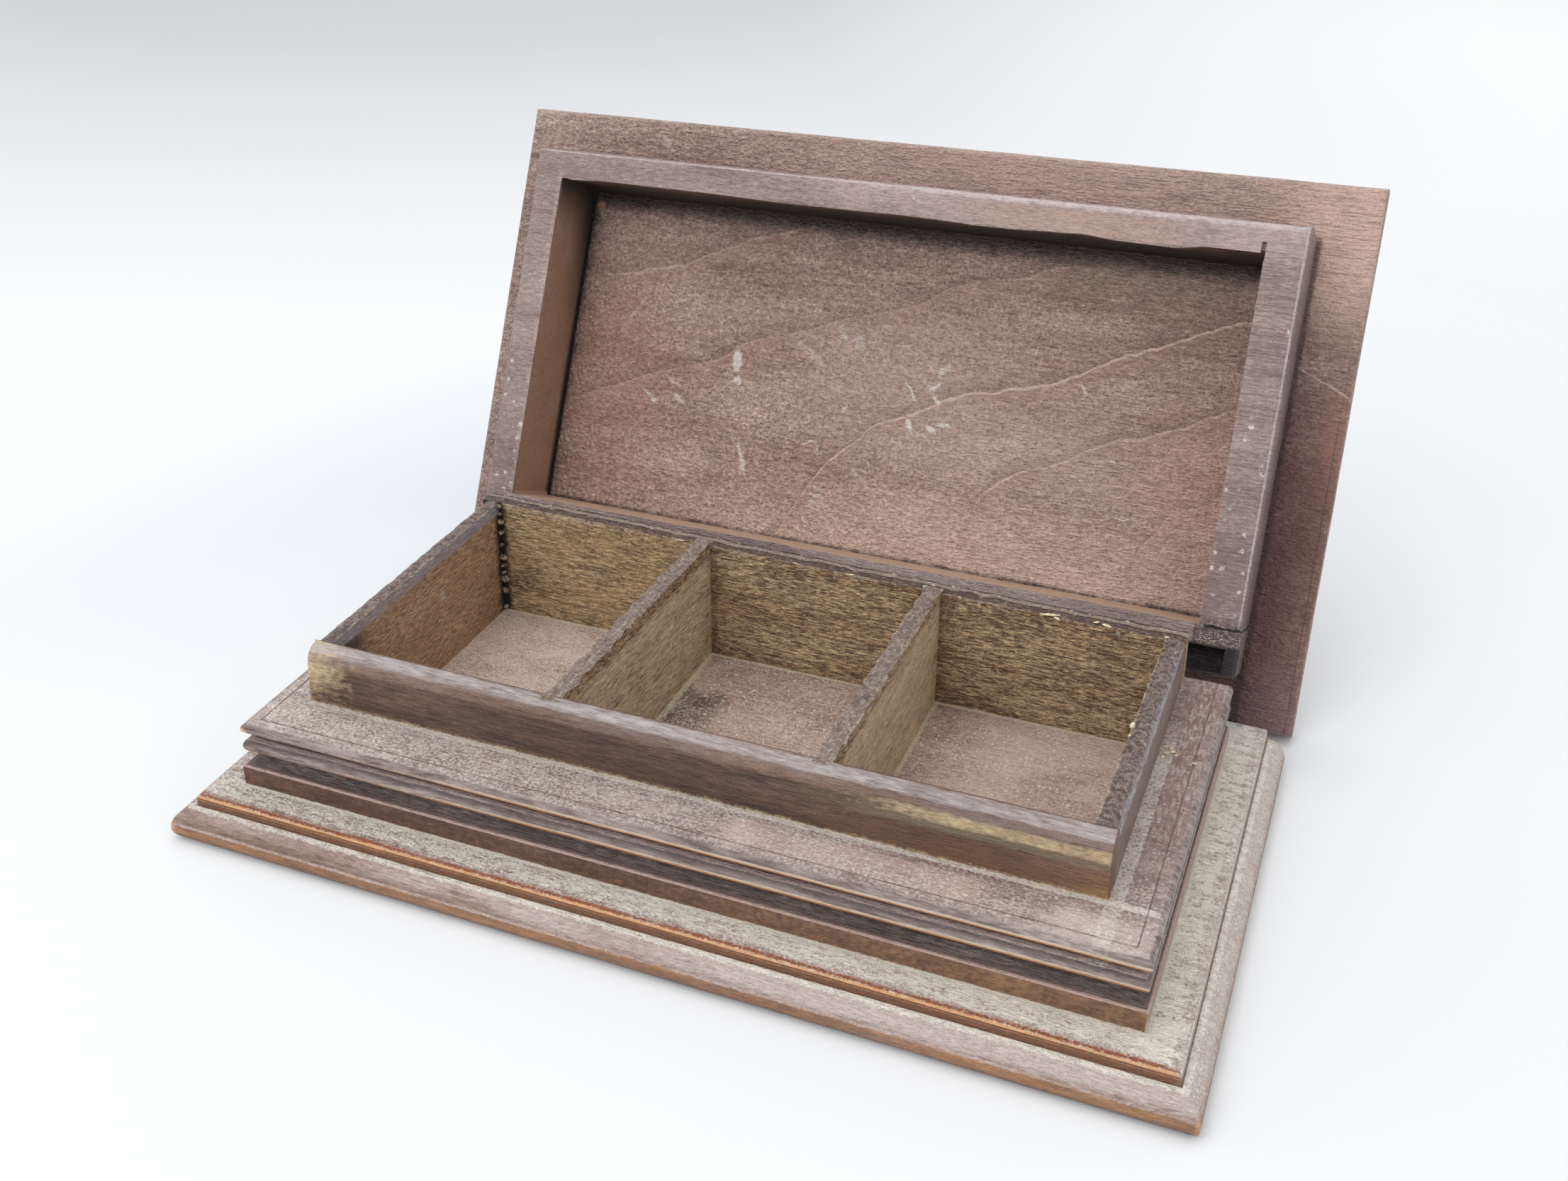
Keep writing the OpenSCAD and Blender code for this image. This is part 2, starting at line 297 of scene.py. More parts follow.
def stained_wood(name, grain, deep, ground, pale, pore=(1.4, 0.26), dark=0.35, grainy=0.14, hinge=None):
    """Close-grained wood, planed and stained: streaks along the grain, short dark pores, slow drifts of tone.
    Gives material, tree, place, colour and height. Where a hinge is given, as its place back and up and the
    angle at which it stands open, the patterns are laid out as the piece lies shut."""
    material, tree, place = new_material(name)
    if hinge:
        back, high, angle = hinge
        place = add(tree, "VectorRotate", {"Vector": place, "Center": (0, back, high),
                                           "Angle": math.radians(angle)}, rotation_type="X_AXIS")

    def lumps(run, wide, detail=2.0, roughness=0.55):
        size = (run, wide, wide) if grain == "x" else (wide, run, wide)
        return cloudy(tree, place, size, detail, roughness)

    streak = cover(tree, (lumps(14, 0.8, 4.0, 0.62), 0.28, 0.62))
    tone = cover(tree, (lumps(34, 9), 0.38, 0.7))
    # real pores and dust are finer than this: they are drawn as coarse as they need to show
    pores = cover(tree, (lumps(*pore, 2.0, 0.6), 0.46, 0.7))
    fine = cloudy(tree, place, 0.3, 1.0)
    grit = cloudy(tree, place, 0.62, 2.0, 0.7)
    colour = coat(tree, coat(tree, to_linear(deep), ground, streak), pale, tone)
    shade = cover(tree, (pores, 0.0, 1.0, 1.04, 1.04 - dark), (fine, 0.3, 0.7, 1 - grainy, 1 + grainy),
                  (grit, 0.32, 0.68, 1.01 - grainy, 0.99 + grainy))
    colour = add(tree, "VectorMath", {0: colour, "Scale": shade}, operation="SCALE")
    return material, tree, place, colour, build_up(tree, fine, (streak, 0.3), (grit, 0.7), (pores, -0.9))


def settle(tree, place, amount, grain=0.45, drift=6.0, small=1.0, large=0.7, soft=1.3):
    """A broken cover: none where the amount is 0, whole where it is 1, and grains and drifts between."""
    level = cover(tree, cloudy(tree, place, grain, 2.0, 0.6), small)
    level = build_up(tree, level, (cloudy(tree, place, drift, 3.0), large))
    # the clouds lie almost wholly between 0.36 and 0.64 of their full height
    level = cover(tree, (level, 0.36 * (small + large), 0.64 * (small + large)))
    reach = build_up(tree, cover(tree, amount, 1 + soft), (level, -1.0))
    return cover(tree, (reach, 0.0, soft))


def specks(tree, place, pitch, size, share):
    """Loose grains, each of this size in millimetres, in this share of cells of this pitch."""
    cell = add(tree, "TexVoronoi", {"Vector": place, "Scale": 1 / pitch, "Randomness": 1.0})
    near = cover(tree, (cell, size / pitch, 0.4 * size / pitch))
    lucky = add(tree, "SeparateColor", {"Color": cell.node.outputs["Color"]})
    return cover(tree, near, add(tree, "Math", {0: lucky, 1: share}, operation="LESS_THAN"))


def seal(material, tree, colour, height, rough, depth=0.14):
    """Sends colour and height to the surface. Stain and wax, glue and straw all have an IOR near 1.5."""
    skin = tree.nodes["Principled BSDF"]
    tree.links.new(colour, skin.inputs["Base Color"])
    bump = add(tree, "Bump", {"Height": height, "Distance": depth * mm, "Strength": 1.0})
    tree.links.new(bump, skin.inputs["Normal"])
    skin.inputs["Roughness"].default_value = rough
    skin.inputs["IOR"].default_value = 1.5
    return material


def facing_up(tree):
    """How far the surface faces upwards, from -1 to 1."""
    return add(tree, "SeparateXYZ", {"Vector": add(tree, "TexCoord", out="Normal")}, out="Z")


def past_plinth(tree, along, deep_in):
    """How far out a place lies past the plinth line at the ends, at the front, and at the further of them."""
    end_out = add(tree, "Math", {0: along}, operation="ABSOLUTE")
    end_out = add(tree, "Math", {0: end_out, 1: base_half}, operation="SUBTRACT")
    front_out = add(tree, "Math", {0: base_front, 1: deep_in}, operation="SUBTRACT")
    return end_out, front_out, widest(tree, end_out, front_out)


base = moulded_board("base_moulded", base_profile, base_back)
cut_out(base, *tray, floor_z, 9)
start_edit(base)
saw(base, 0, steps(-base_half - nose, base_half + nose))
saw(base, 1, steps(base_front - nose, base_back))
wear(base, 0.16, 9)
for corner in base.data.vertices:    # the underside still stands flat on the table
    corner.co.z = max(corner.co.z, 0.0)

# Stained wood under dust: mauve-brown where it is bare, cream in the corners,
# orange where hands have rubbed the arrises through to the wood.
wood, tree, place, colour, height = stained_wood("dusty_stained_base", "x", "#6f4f42", "#93705f", "#a98b7c")
along, deep_in, up = add(tree, "SeparateXYZ", {"Vector": place}).node.outputs[:]
end_out, front_out, out = past_plinth(tree, along, deep_in)
mitre = add(tree, "Math", {0: end_out, 1: front_out}, operation="MINIMUM")
rightward = cover(tree, (along, -70.0, 80.0))
upper = cover(tree, (facing_up(tree), 0.25, 0.7))
drawn = add(tree, "VectorMath", {0: place, 1: (0.14, 1.0, 1.0)}, operation="MULTIPLY")
# the nose: pale lilac dust on its shoulder, stain rubbed through round its fullest part
lavender = cover(tree, (up, 2.0, 4.5), (rightward, 0.0, 0.9, 0.62, 0.92))
lavender = settle(tree, drawn, lavender, 0.5, 3, 1.2, 0.9, 1.1)
colour = coat(tree, colour, "#cbb9b2", lavender)
bare_nose = cover(tree, band(tree, up, 1.0, 5.4, 0.4), (rightward, 0.0, 0.9, 0.46, 0.1))
colour = coat(tree, colour, "#7c5946", settle(tree, drawn, bare_nose, 0.5, 2.2, 1.3, 1.0, 0.9))
for code, low, high, soft, much, grain in (("#9a7050", 1.2, 2.8, 0.8, 0.6, 0.6),
                                           ("#c48f62", 1.6, 3.0, 0.5, 0.32, 0.8)):
    rubbed = cover(tree, band(tree, up, low, high, soft), much)
    colour = coat(tree, colour, code, settle(tree, drawn, rubbed, grain, 3))
# painted shade on the underside of the nose, darkest where it meets the table
colour = coat(tree, colour, "#5f4434", (up, 1.1, 0.2, 0.0, 0.8))
rim = cover(tree, band(tree, up, 3.0, 3.2, 0.35), 0.5)
colour = coat(tree, colour, "#d5c2bc", settle(tree, place, rim, 0.4, 12))
# the flat above the step: dull grey, worn in streaks, redder along the step's arris
flat_grey = cover(tree, (out, 5.6, 4.4))
colour = coat(tree, colour, "#a9948a", flat_grey, upper, 0.75)
worn_flat = cover(tree, flat_grey, upper, (rightward, 0.0, 1.0, 0.5, 0.22))
colour = coat(tree, colour, "#7d5846", settle(tree, drawn, worn_flat, 0.7, 2.4, 1.1, 1.0, 0.9))
by_end = cover(tree, (add(tree, "Math", {0: end_out, 1: front_out}, operation="SUBTRACT"), -1.0, 2.0))
red = cover(tree, band(tree, out, 5.1, 5.6, 0.7), upper, (by_end, 0.0, 1.0, 0.8, 0.2))
colour = coat(tree, colour, "#9a5534", settle(tree, place, red, 0.5, 9, 0.9, 1.2))
# dust: over the flat, in front of the step and over the ends, with paler specks in it
flat = cover(tree, (out, 5.6, 3.6), (rightward, 0.0, 1.0, 0.68, 1.0))
flat = widest(tree, flat, cover(tree, band(tree, end_out, -2.0, 5.2, 0.5), by_end, 0.72))
by_step = cover(tree, band(tree, out, 5.9, 6.7, 0.9), (rightward, 0.0, 1.0, 0.8, 0.95))
over_end = cover(tree, band(tree, end_out, 5.7, 9.0, 0.4), by_end, (up, 1.6, 3.4), 0.5)
dusty = widest(tree, cover(tree, widest(tree, flat, by_step), upper), over_end)
thinnest = cover(tree, (by_end, 0.0, 1.0, 0.6, 0.45))
dusty = cover(tree, dusty, (cloudy(tree, place, (3.0, 1.2, 1.2), 4.0, 0.7), 0.36, 0.6, thinnest, 1.05))
grains = settle(tree, place, dusty, 0.42, 5, 1.6, 0.4, 1.0)
colour = coat(tree, colour, "#ebe2d6", grains)
sparkle = cover(tree, specks(tree, place, 1.05, 0.36, 0.5), (dusty, 0.2, 0.5),
                (rightward, 0.8, 0.4, 0.3, 0.95))
colour = coat(tree, colour, "#fbf6ec", sparkle)
# wood dust at the plinth's foot, and the step's riser and arris rubbed to bare orange wood
foot = cover(tree, band(tree, out, -2.0, 0.35, 0.3), upper)
colour = coat(tree, colour, "#e3dbd0", settle(tree, place, foot, 0.5, 3))
riser = cover(tree, band(tree, up, 5.5, 6.95, 0.12), band(tree, out, 5.5, 5.95, 0.12))
colour = coat(tree, colour, "#80583f", riser, (by_end, 0.0, 1.0, 1.0, 0.4))
second = cover(tree, riser, band(tree, up, 6.55, 6.7, 0.1), 0.5)
colour = coat(tree, colour, "#c08a62", settle(tree, place, second, 0.6, 12))
front_only = cover(tree, (end_out, 5.6, 4.8, 0.25, 1.0))
rub = cover(tree, band(tree, out, 5.6, 5.85, 0.08), band(tree, up, 7.05, 7.7, 0.08), front_only)
colour = coat(tree, colour, "#eeb07a", settle(tree, drawn, cover(tree, rub, 0.8), 0.6, 3, 0.8, 1.0))
worn_mitre = cover(tree, (mitre, 7.9, 8.9, 0.0, 0.75), (up, 5.0, 3.5))
colour = coat(tree, colour, "#cf9f7d", settle(tree, place, worn_mitre, 0.6, 4))
height = build_up(tree, height, (grains, 0.9), (sparkle, 1.3))
base_wood = seal(wood, tree, colour, height, 0.62, 0.2)

# The floor of the tray: the same board, thinly stained, pinkish under fine grit,
# with wood dust lying along the feet of the walls.
wood, tree, place, colour, height = stained_wood("gritty_tray_floor", "x", "#7d6158", "#a98d82", "#bba196",
                                                 (2.4, 0.4), 0.25, grainy=0.3)
along, deep_in = add(tree, "SeparateXYZ", {"Vector": place}).node.outputs[:2]
# painted shade on the floor to the right of each divider, pale where grit and wood dust lie
shaded = cover(tree, band(tree, along, -20.0, -13.0, 6.0), band(tree, deep_in, -24.0, 18.0, 9.0))
shaded = widest(tree, shaded, cover(tree, band(tree, along, 24.0, 28.0, 6.0),
                                    band(tree, deep_in, -24.0, 26.0, 9.0), 0.35))
colour = coat(tree, colour, "#5c4b46", settle(tree, place, cover(tree, shaded, 0.7), 0.7, 5))
pale_grit = settle(tree, place, (along, -20.0, -24.0, 0.36, 0.55), 0.42, 7, 1.6, 0.7, 0.8)
colour = coat(tree, colour, "#d6c6b6", pale_grit)
swept = widest(tree, band(tree, along, -19.9, -19.3, 0.9), band(tree, along, 24.1, 24.6, 0.9),
               band(tree, deep_in, 33.6, 34.4, 0.5))
colour = coat(tree, colour, "#d8caac", settle(tree, place, cover(tree, swept, 0.6), 0.5, 2))
right_end = cover(tree, (along, 24.0, 40.0, 0.0, 0.4))
colour = coat(tree, colour, "#d2bcb0", settle(tree, place, right_end, 0.6, 8))
grit = specks(tree, place, 0.95, 0.3, 0.42)
crumbs = cover(tree, specks(tree, place, 2.6, 0.45, 0.2), band(tree, along, -20.0, 30.0, 6.0))
colour = coat(tree, coat(tree, colour, "#f1e8da", grit), "#f4e9d2", crumbs)
height = build_up(tree, height, (grit, 1.0), (crumbs, 1.6))
floor_wood = seal(wood, tree, colour, height, 0.66)
dress(base, "box", "base_wood", ["base_board"], base_wood, floor_wood)
for face in base.data.polygons:
    at = face.center / mm
    if abs(at.z - floor_z) < 0.4 and tray[0] < at.x < tray[1] and tray[2] < at.y < tray[3]:
        face.material_index = 1

# ---------------------------------------------------------------- Plinth
# A plain square band between base and cornice, planed and stained a warm
# red-brown. It is shaded by the moulding above, so little dust has settled.
plinth = moulded_board("plinth_band", [(0.0, 7.4), (0.0, 11.05), (-0.1, 11.24), (-0.3, 11.3)], tray[3])
# cut right through, and open behind
cut_out(plinth, *tray[:3], tray[3] + 5, 5, 14)
start_edit(plinth)
saw(plinth, 0, steps(-base_half, base_half))
saw(plinth, 1, steps(base_front, tray[3]))
wear(plinth, 0.1, 8)
wood, tree, place, colour, height = stained_wood("warm_stained_plinth", "x", "#4c3026", "#6b4a3b", "#7d5c4b",
                                                 (1.9, 0.4), 0.4)
along, _, up = add(tree, "SeparateXYZ", {"Vector": place}).node.outputs[:]
# warmer to the right, a worn right end, and dust piled at the foot
warmth = cover(tree, (along, -45.0, 50.0, 0.0, 0.85))
colour = coat(tree, colour, "#96704f", settle(tree, place, cover(tree, warmth, 0.75), 0.8, 6, 0.9, 1.0))
colour = coat(tree, colour, "#432a21", settle(tree, place, 0.36, 0.9, 4))
end_face = cover(tree, (along, 74.6, 74.9), (up, 11.6, 8.0))
colour = coat(tree, colour, "#d3c6b6", end_face, 0.8)
top_arris = cover(tree, band(tree, up, 11.1, 11.6, 0.1), 0.8)
colour = coat(tree, colour, "#bb9f95", settle(tree, place, top_arris, 0.5, 9))
pile = cover(tree, (up, 7.9, 7.5))
colour = coat(tree, colour, "#d6cbbc", settle(tree, place, pile, 0.5, 2, 1.0, 1.0))
dress(plinth, "box", "body_wood", ["plinth_board"], seal(wood, tree, colour, height, 0.55))

# ---------------------------------------------------------------- Cornice
# The moulded board under the ledge: cove, bead, quirk and rounded nose worked
# in one piece, with a fine line scribed into the ledge behind the nose.
set_in = 0.3    # how far the cornice stands inside the plinth line
cornice_profile = [(-0.4, 11.3), (-0.4, 11.4), (-0.92, 11.47), (-1.4, 11.67), (-1.81, 11.98), (-2.13, 12.4),
                   (-2.33, 12.88), (-2.4, 13.4), (-2.42, 13.6),    # cove
                   (-1.75, 13.61), (-1.2, 13.71), (-0.72, 14.02), (-0.41, 14.5), (-set_in, 15.05),
                   (-0.41, 15.6), (-0.72, 16.08), (-1.2, 16.39), (-1.75, 16.5),    # bead
                   (-2.3, 16.5), (-2.36, 17.38),    # quirk
                   (-1.3, 17.4), (-0.9, 17.49), (-0.58, 17.71), (-0.37, 18.03), (-set_in, 18.4),
                   (-0.38, 18.79), (-0.6, 19.1), (-0.93, 19.32), (-1.32, 19.4),    # nose
                   (-2.78, 19.4), (-2.85, 19.24), (-2.95, 19.24), (-3.02, 19.4)]    # scribed line
cornice = moulded_board("cornice_moulded", cornice_profile, tray[3])
cut_out(cornice, *tray[:3], tray[3] + 5, 8, 22)
start_edit(cornice)
saw(cornice, 0, steps(set_in - base_half, base_half - set_in))
saw(cornice, 1, steps(base_front + set_in, tray[3]))
wear(cornice, 0.14, 6)

wood, tree, place, colour, height = stained_wood("dusty_stained_cornice", "x", "#876e66", "#a9938c",
                                                 "#bda8a1", (2.2, 0.3), 0.32)
along, deep_in, up = add(tree, "SeparateXYZ", {"Vector": place}).node.outputs[:]
drawn = add(tree, "VectorMath", {0: place, 1: (0.14, 1.0, 1.0)}, operation="MULTIPLY")
_, _, out = past_plinth(tree, along, deep_in)
rightward = cover(tree, (along, -70.0, 60.0))
ledge = cover(tree, (up, 19.15, 19.35))
# the ledge: dull streaks, pale patches, a redder right end, and dust, thick along the walls
streaks = settle(tree, drawn, cover(tree, ledge, 0.4), 0.5, 2.5, 1.2, 1.0, 0.9)
colour = coat(tree, colour, "#765f55", streaks)
bare = cover(tree, band(tree, along, 12, 48, 4), band(tree, deep_in, -32.8, -28.0, 1.2), ledge)
colour = coat(tree, colour, "#cfb1a7", settle(tree, place, cover(tree, bare, 0.5), 1.2, 9, 0.5, 1.0, 2.0))
corner = cover(tree, (along, 50.0, 62.0), (deep_in, -26.0, -30.0), ledge)
colour = coat(tree, colour, "#d3c0b8", settle(tree, place, cover(tree, corner, 0.5), 1.0, 8, 0.5, 1.0, 2.0))
at_wall = cover(tree, band(tree, deep_in, -26.2, -25.0, 0.4), (along, -68.5, -67.5))
at_wall = widest(tree, at_wall, cover(tree, band(tree, along, 66.3, 68.4, 0.7), 0.8))
level = cover(tree, ledge, (rightward, 0.0, 1.0, 0.5, 0.34))
on_end = cover(tree, (along, 66.6, 69.0), ledge, (deep_in, -22.0, -6.0, 0.12, 1.0))
veins = cover(tree, (cloudy(tree, place, (0.5, 2.2, 2.2), 3.0, 0.65), 0.47, 0.6))
colour = coat(tree, colour, "#85685f", on_end, 0.62)
colour = coat(tree, colour, "#cdbfb6", on_end, veins, (deep_in, -26.0, 8.0, 0.2, 0.5))
level = cover(tree, level, (cover(tree, (along, 66.5, 67.5), (deep_in, -22.0, -6.0)), 0.0, 1.0, 1.0, 0.35))
level = widest(tree, level, cover(tree, at_wall, (deep_in, 24.0, 12.0, 0.2, 0.72)))
grains = settle(tree, place, level, 0.5, 5, 1.4, 0.5, 0.9)
colour = coat(tree, colour, "#d9cec3", grains)
sparkle = cover(tree, specks(tree, place, 1.1, 0.36, 0.4), ledge, (along, -20.0, -60.0, 0.35, 0.95))
colour = coat(tree, colour, "#f6efe4", sparkle)
# nose and bead: dusty grey on top, the bead's crown in painted shadow under the nose, cream towards the worn
# lower arris, orange on it, and painted shade, near black, beneath
for top, light, arris, below, painted_shade in ((19.3, 18.4, 18.05, 17.5, 0.0), (16.1, 14.9, 14.5, 13.9, 0.75)):
    here = cover(tree, band(tree, up, below - 0.45, top, 0.15), (out, -2.3, -1.9))
    colour = coat(tree, colour, "#a1958f", here, 0.5)
    streaks = settle(tree, drawn, cover(tree, here, 0.42), 0.6, 2.2, 1.3, 1.0, 0.8)
    colour = coat(tree, colour, "#5f4a42", streaks)
    shadowed_crown = cover(tree, here, (up, top - 0.75, top - 0.1, 0.0, painted_shade))
    colour = coat(tree, colour, "#4f4340", shadowed_crown)
    pale = cover(tree, band(tree, up, arris + 0.1, light, 0.3), here, (rightward, 0.05, 0.45, 0.3, 0.85))
    colour = coat(tree, colour, "#cfc0ae", settle(tree, place, pale, 0.9, 14, 0.6, 0.9))
    worn = cover(tree, band(tree, up, below + 0.05, arris, 0.2), here, (rightward, 0.0, 0.4, 0.2, 0.85))
    colour = coat(tree, colour, "#c28350", settle(tree, place, worn, 0.8, 9, 0.8, 1.1))
    colour = coat(tree, colour, "#382c29", here, (up, below + 0.05, below - 0.1))
# the quirk and the cove, both in painted shade, the scribed line, and a chip off the left corner
quirk = cover(tree, (out, -1.7, -2.1), (up, 19.0, 18.6))
cove = cover(tree, (up, 13.65, 13.45), (up, 11.35, 11.5, 0.7, 1.0))
colour = coat(tree, colour, "#3a302e", quirk)
colour = coat(tree, colour, "#4d3d37", cove, 0.9)
colour = coat(tree, colour, "#2f231e", cove, (up, 12.2, 13.3, 0.0, 0.85))
streaks = settle(tree, drawn, cover(tree, cove, 0.3), 0.4, 2.0, 1.4, 0.8, 0.8)
colour = coat(tree, colour, "#8a786f", streaks)
scribed = cover(tree, band(tree, out, -3.0, -2.78, 0.06), (up, 18.9, 19.0))
colour = coat(tree, colour, "#6b5550", scribed, 0.3)
chip = spot(tree, place, (-75.2, -36.2, 17.9), (2.4, 2.4, 1.2))
colour = coat(tree, colour, "#efbd8a", settle(tree, place, (chip, 1.0, 0.5), 0.5, 2))
height = build_up(tree, height, (grains, 0.7), (sparkle, 1.2))
dress(cornice, "box", "body_wood", ["cornice_board"], seal(wood, tree, colour, height, 0.5))

# ---------------------------------------------------------------- Tray walls
# Four thin walls housed in the base: long front and back walls with the end
# walls between them. The outer top edges are rounded over so that the lid
# swings past. Golden brown inside, the tops left rough from the saw.
tray_top = 29.6
wall = 3.4


def wall_wood(name, grain, pale_arris, flecks=0.6075):
    """Thin wall wood rubbed golden brown, with dark broken grain lines and a dull purple-brown stain on its
    sawn top. The pale arris is the places across the wall where the sawn top has splintered."""
    wood, tree, place, colour, height = stained_wood(name, grain, "#86664f", "#c8a581", "#e2c59f",
                                                     (1.8, 0.3), 0.66, grainy=0.3)
    along, deep_in, up = add(tree, "SeparateXYZ", {"Vector": place}).node.outputs[:]
    across = deep_in if grain == "x" else along
    colour = coat(tree, colour, "#6b4d38", settle(tree, place, (up, 11.0, 6.2, 0.0, 0.45), 0.9, 5))
    colour = coat(tree, colour, "#7d5b45", settle(tree, place, (up, 24.0, 29.0, 0.05, 0.4), 0.9, 6))
    long_run = (2.6, 0.26, 0.26) if grain == "x" else (0.26, 2.6, 0.26)
    dash = cover(tree, (cloudy(tree, place, long_run, 3.0, 0.7), 0.5, 0.59, 0.0, 0.78))
    colour = coat(tree, colour, "#523826", dash)
    run = (1.2, 0.4, 0.28) if grain == "x" else (0.4, 1.2, 0.28)
    fleck = cover(tree, (cloudy(tree, place, run, 2.0, 0.6), 0.54, 0.61, 0.0, flecks))
    colour = coat(tree, colour, "#ffe0ae", fleck)
    # the sawn top: dull, lumpy and pitted, its arrises splintered pale
    sawn = cover(tree, (facing_up(tree), 0.3, 0.7), (up, 26.0, 26.5))
    colour = coat(tree, colour, "#97827a", sawn)
    lumps = cover(tree, sawn, (cloudy(tree, place, 1.3, 3.0, 0.65), 0.5, 0.64, 0.0, 0.6))
    colour = coat(tree, colour, "#c3b2a6", lumps)
    pits = cover(tree, sawn, (cloudy(tree, place, 0.8, 3.0, 0.7), 0.5, 0.62, 0.0, 0.8))
    colour = coat(tree, colour, "#54423d", pits)
    edge = widest(tree, *[band(tree, across, at - 0.12, at + 0.12, 0.25) for at in pale_arris])
    splinter = settle(tree, place, cover(tree, (up, 27.4, 28.6), edge, 0.5), 0.6, 2.5, 1.2, 1.6, 0.5)
    colour = coat(tree, colour, "#d9c8b0", splinter)
    height = build_up(tree, height, (dash, -1.0), (lumps, 1.5), (pits, -2.0), (splinter, 0.8))
    return wood, tree, place, colour, height


def tip(obj, above, angle, axis, at):
    """Tips the corners above a height by a small angle, so that a wall's top runs down along its length."""
    start_edit(obj)
    pick(obj, "VERT", lambda mid, span: mid.z > above)
    bpy.ops.transform.rotate(value=math.radians(angle), orient_axis=axis, orient_type="GLOBAL",
                             center_override=tuple(c * mm for c in at))
    bpy.ops.object.mode_set(mode="OBJECT")


front_wall = block("tray_front", tray[0], tray[1], tray[2], tray[2] + wall, floor_z, tray_top)
pick(front_wall, "EDGE", lambda mid, span: mid.z > tray_top - 0.1 and span.x > 100 and mid.y < tray[2] + 0.1)
bpy.ops.mesh.bevel(offset=2.9 * mm, segments=10, profile=0.5, affect="EDGES")
pick(front_wall, "EDGE",
     lambda mid, span: mid.z > tray_top - 0.1 and span.x > 100 and mid.y > tray[2] + wall - 0.1)
bpy.ops.mesh.bevel(offset=0.4 * mm, segments=3, affect="EDGES")
pick(front_wall, "EDGE",
     lambda mid, span: (abs(mid.x - tray[0]) < 0.1 and span.x < 0.01
                        and mid.z > tray_top - 2.9 and mid.y < tray[2] + 3))
bpy.ops.mesh.bevel(offset=0.7 * mm, segments=3, affect="EDGES")
saw(front_wall, 0, [tray[0] + 0.9, tray[1] - 0.3] + steps(tray[0], tray[1], 1.2))
saw(front_wall, 2, [9, 12, 15, 18, 21, 24])
wear(front_wall, 0.16, 5)
wood, tree, place, colour, height = stained_wood("dark_stained_front_wall", "x", "#5a4234", "#7c5e4d",
                                                 "#8c705f", (2.4, 0.34), 0.4)
along, deep_in, up = add(tree, "SeparateXYZ", {"Vector": place}).node.outputs[:]
drawn = add(tree, "VectorMath", {0: place, 1: (0.14, 1.0, 1.0)}, operation="MULTIPLY")
# the face: dark, turning red-brown, tan and olive towards the right
dusk = cover(tree, (up, 27.4, 26.6, 0.0, 0.52), (along, 64.0, 40.0, 0.45, 1.0))
colour = coat(tree, colour, "#3c2a24", settle(tree, drawn, dusk, 0.7, 2.6, 1.3, 1.0))
warm = cover(tree, (along, -10.0, 50.0, 0.0, 0.5), (up, 25.5, 23.5))
colour = coat(tree, colour, "#7b563c", settle(tree, drawn, warm, 0.6, 3, 0.5, 0.9))
low_right = cover(tree, (along, 55.0, 66.0, 0.0, 0.62), (up, 25.0, 20.5))
colour = coat(tree, colour, "#a58052", settle(tree, drawn, low_right, 0.6, 2.5, 1.2, 0.9))
olive = cover(tree, (along, 5.0, 30.0, 0.0, 0.6), band(tree, up, 24.5, 27.2, 0.8))
colour = coat(tree, colour, "#7d6f57", settle(tree, drawn, olive, 0.6, 3, 0.5, 0.9))
# stain worn off to bare wood along the upper right and over the checked left end
streak = cover(tree, (along, 16.0, 46.0, 0.0, 0.85), band(tree, up, 25.9, 27.1, 1.0))
left_end = cover(tree, (along, -54.0, -67.0), (up, 18.0, 27.0, 0.5, 0.95))
mottled = add(tree, "VectorMath", {0: place, 1: (0.5, 1.0, 1.0)}, operation="MULTIPLY")
rubbed = settle(tree, mottled, cover(tree, widest(tree, streak, left_end), 0.66), 0.7, 2.2, 1.2, 1.2, 1.3)
colour = coat(tree, colour, "#dcc199", rubbed)
checks = cover(tree, (cloudy(tree, place, (0.4, 0.5, 1.6), 2.0, 0.6), 0.54, 0.64, 0.0, 0.45))
colour = coat(tree, colour, "#8a6643", checks, left_end)
# the top: a painted highlight along it over pale dust on the round, a dull back arris and golden wood on the
# inside
dust_and_sheen = cover(tree, band(tree, deep_in, -24.3, -22.6, 0.5), (up, 26.9, 28.3), 0.54)
dust_and_sheen = settle(tree, drawn, dust_and_sheen, 0.4, 3, 1.4, 0.9)
colour = coat(tree, colour, "#bab1b0", dust_and_sheen)
shoulder = cover(tree, band(tree, up, 27.4, 28.4, 0.8), (deep_in, -22.4, -22.9), 0.4)
colour = coat(tree, colour, "#8a7a74", settle(tree, drawn, shoulder, 0.6, 3, 0.9, 0.8))
back_arris = cover(tree, (deep_in, -22.3, -22.0), (up, 28.4, 28.9))
colour = coat(tree, colour, "#5e4940", back_arris, 0.7)
inside = cover(tree, (deep_in, -22.0, -21.85), (up, 29.0, 28.6))
colour = coat(tree, colour, "#a2825c", inside)
colour = coat(tree, colour, "#6a4c3c", (along, 66.2, 66.4, 0.0, 0.9))
colour = coat(tree, colour, "#c9b08c", settle(tree, place, (up, 20.2, 19.5, 0.0, 0.5), 0.5, 3))
dress(front_wall, "box", "tray_wood", ["tray_front_wall"], seal(wood, tree, colour, height, 0.46))

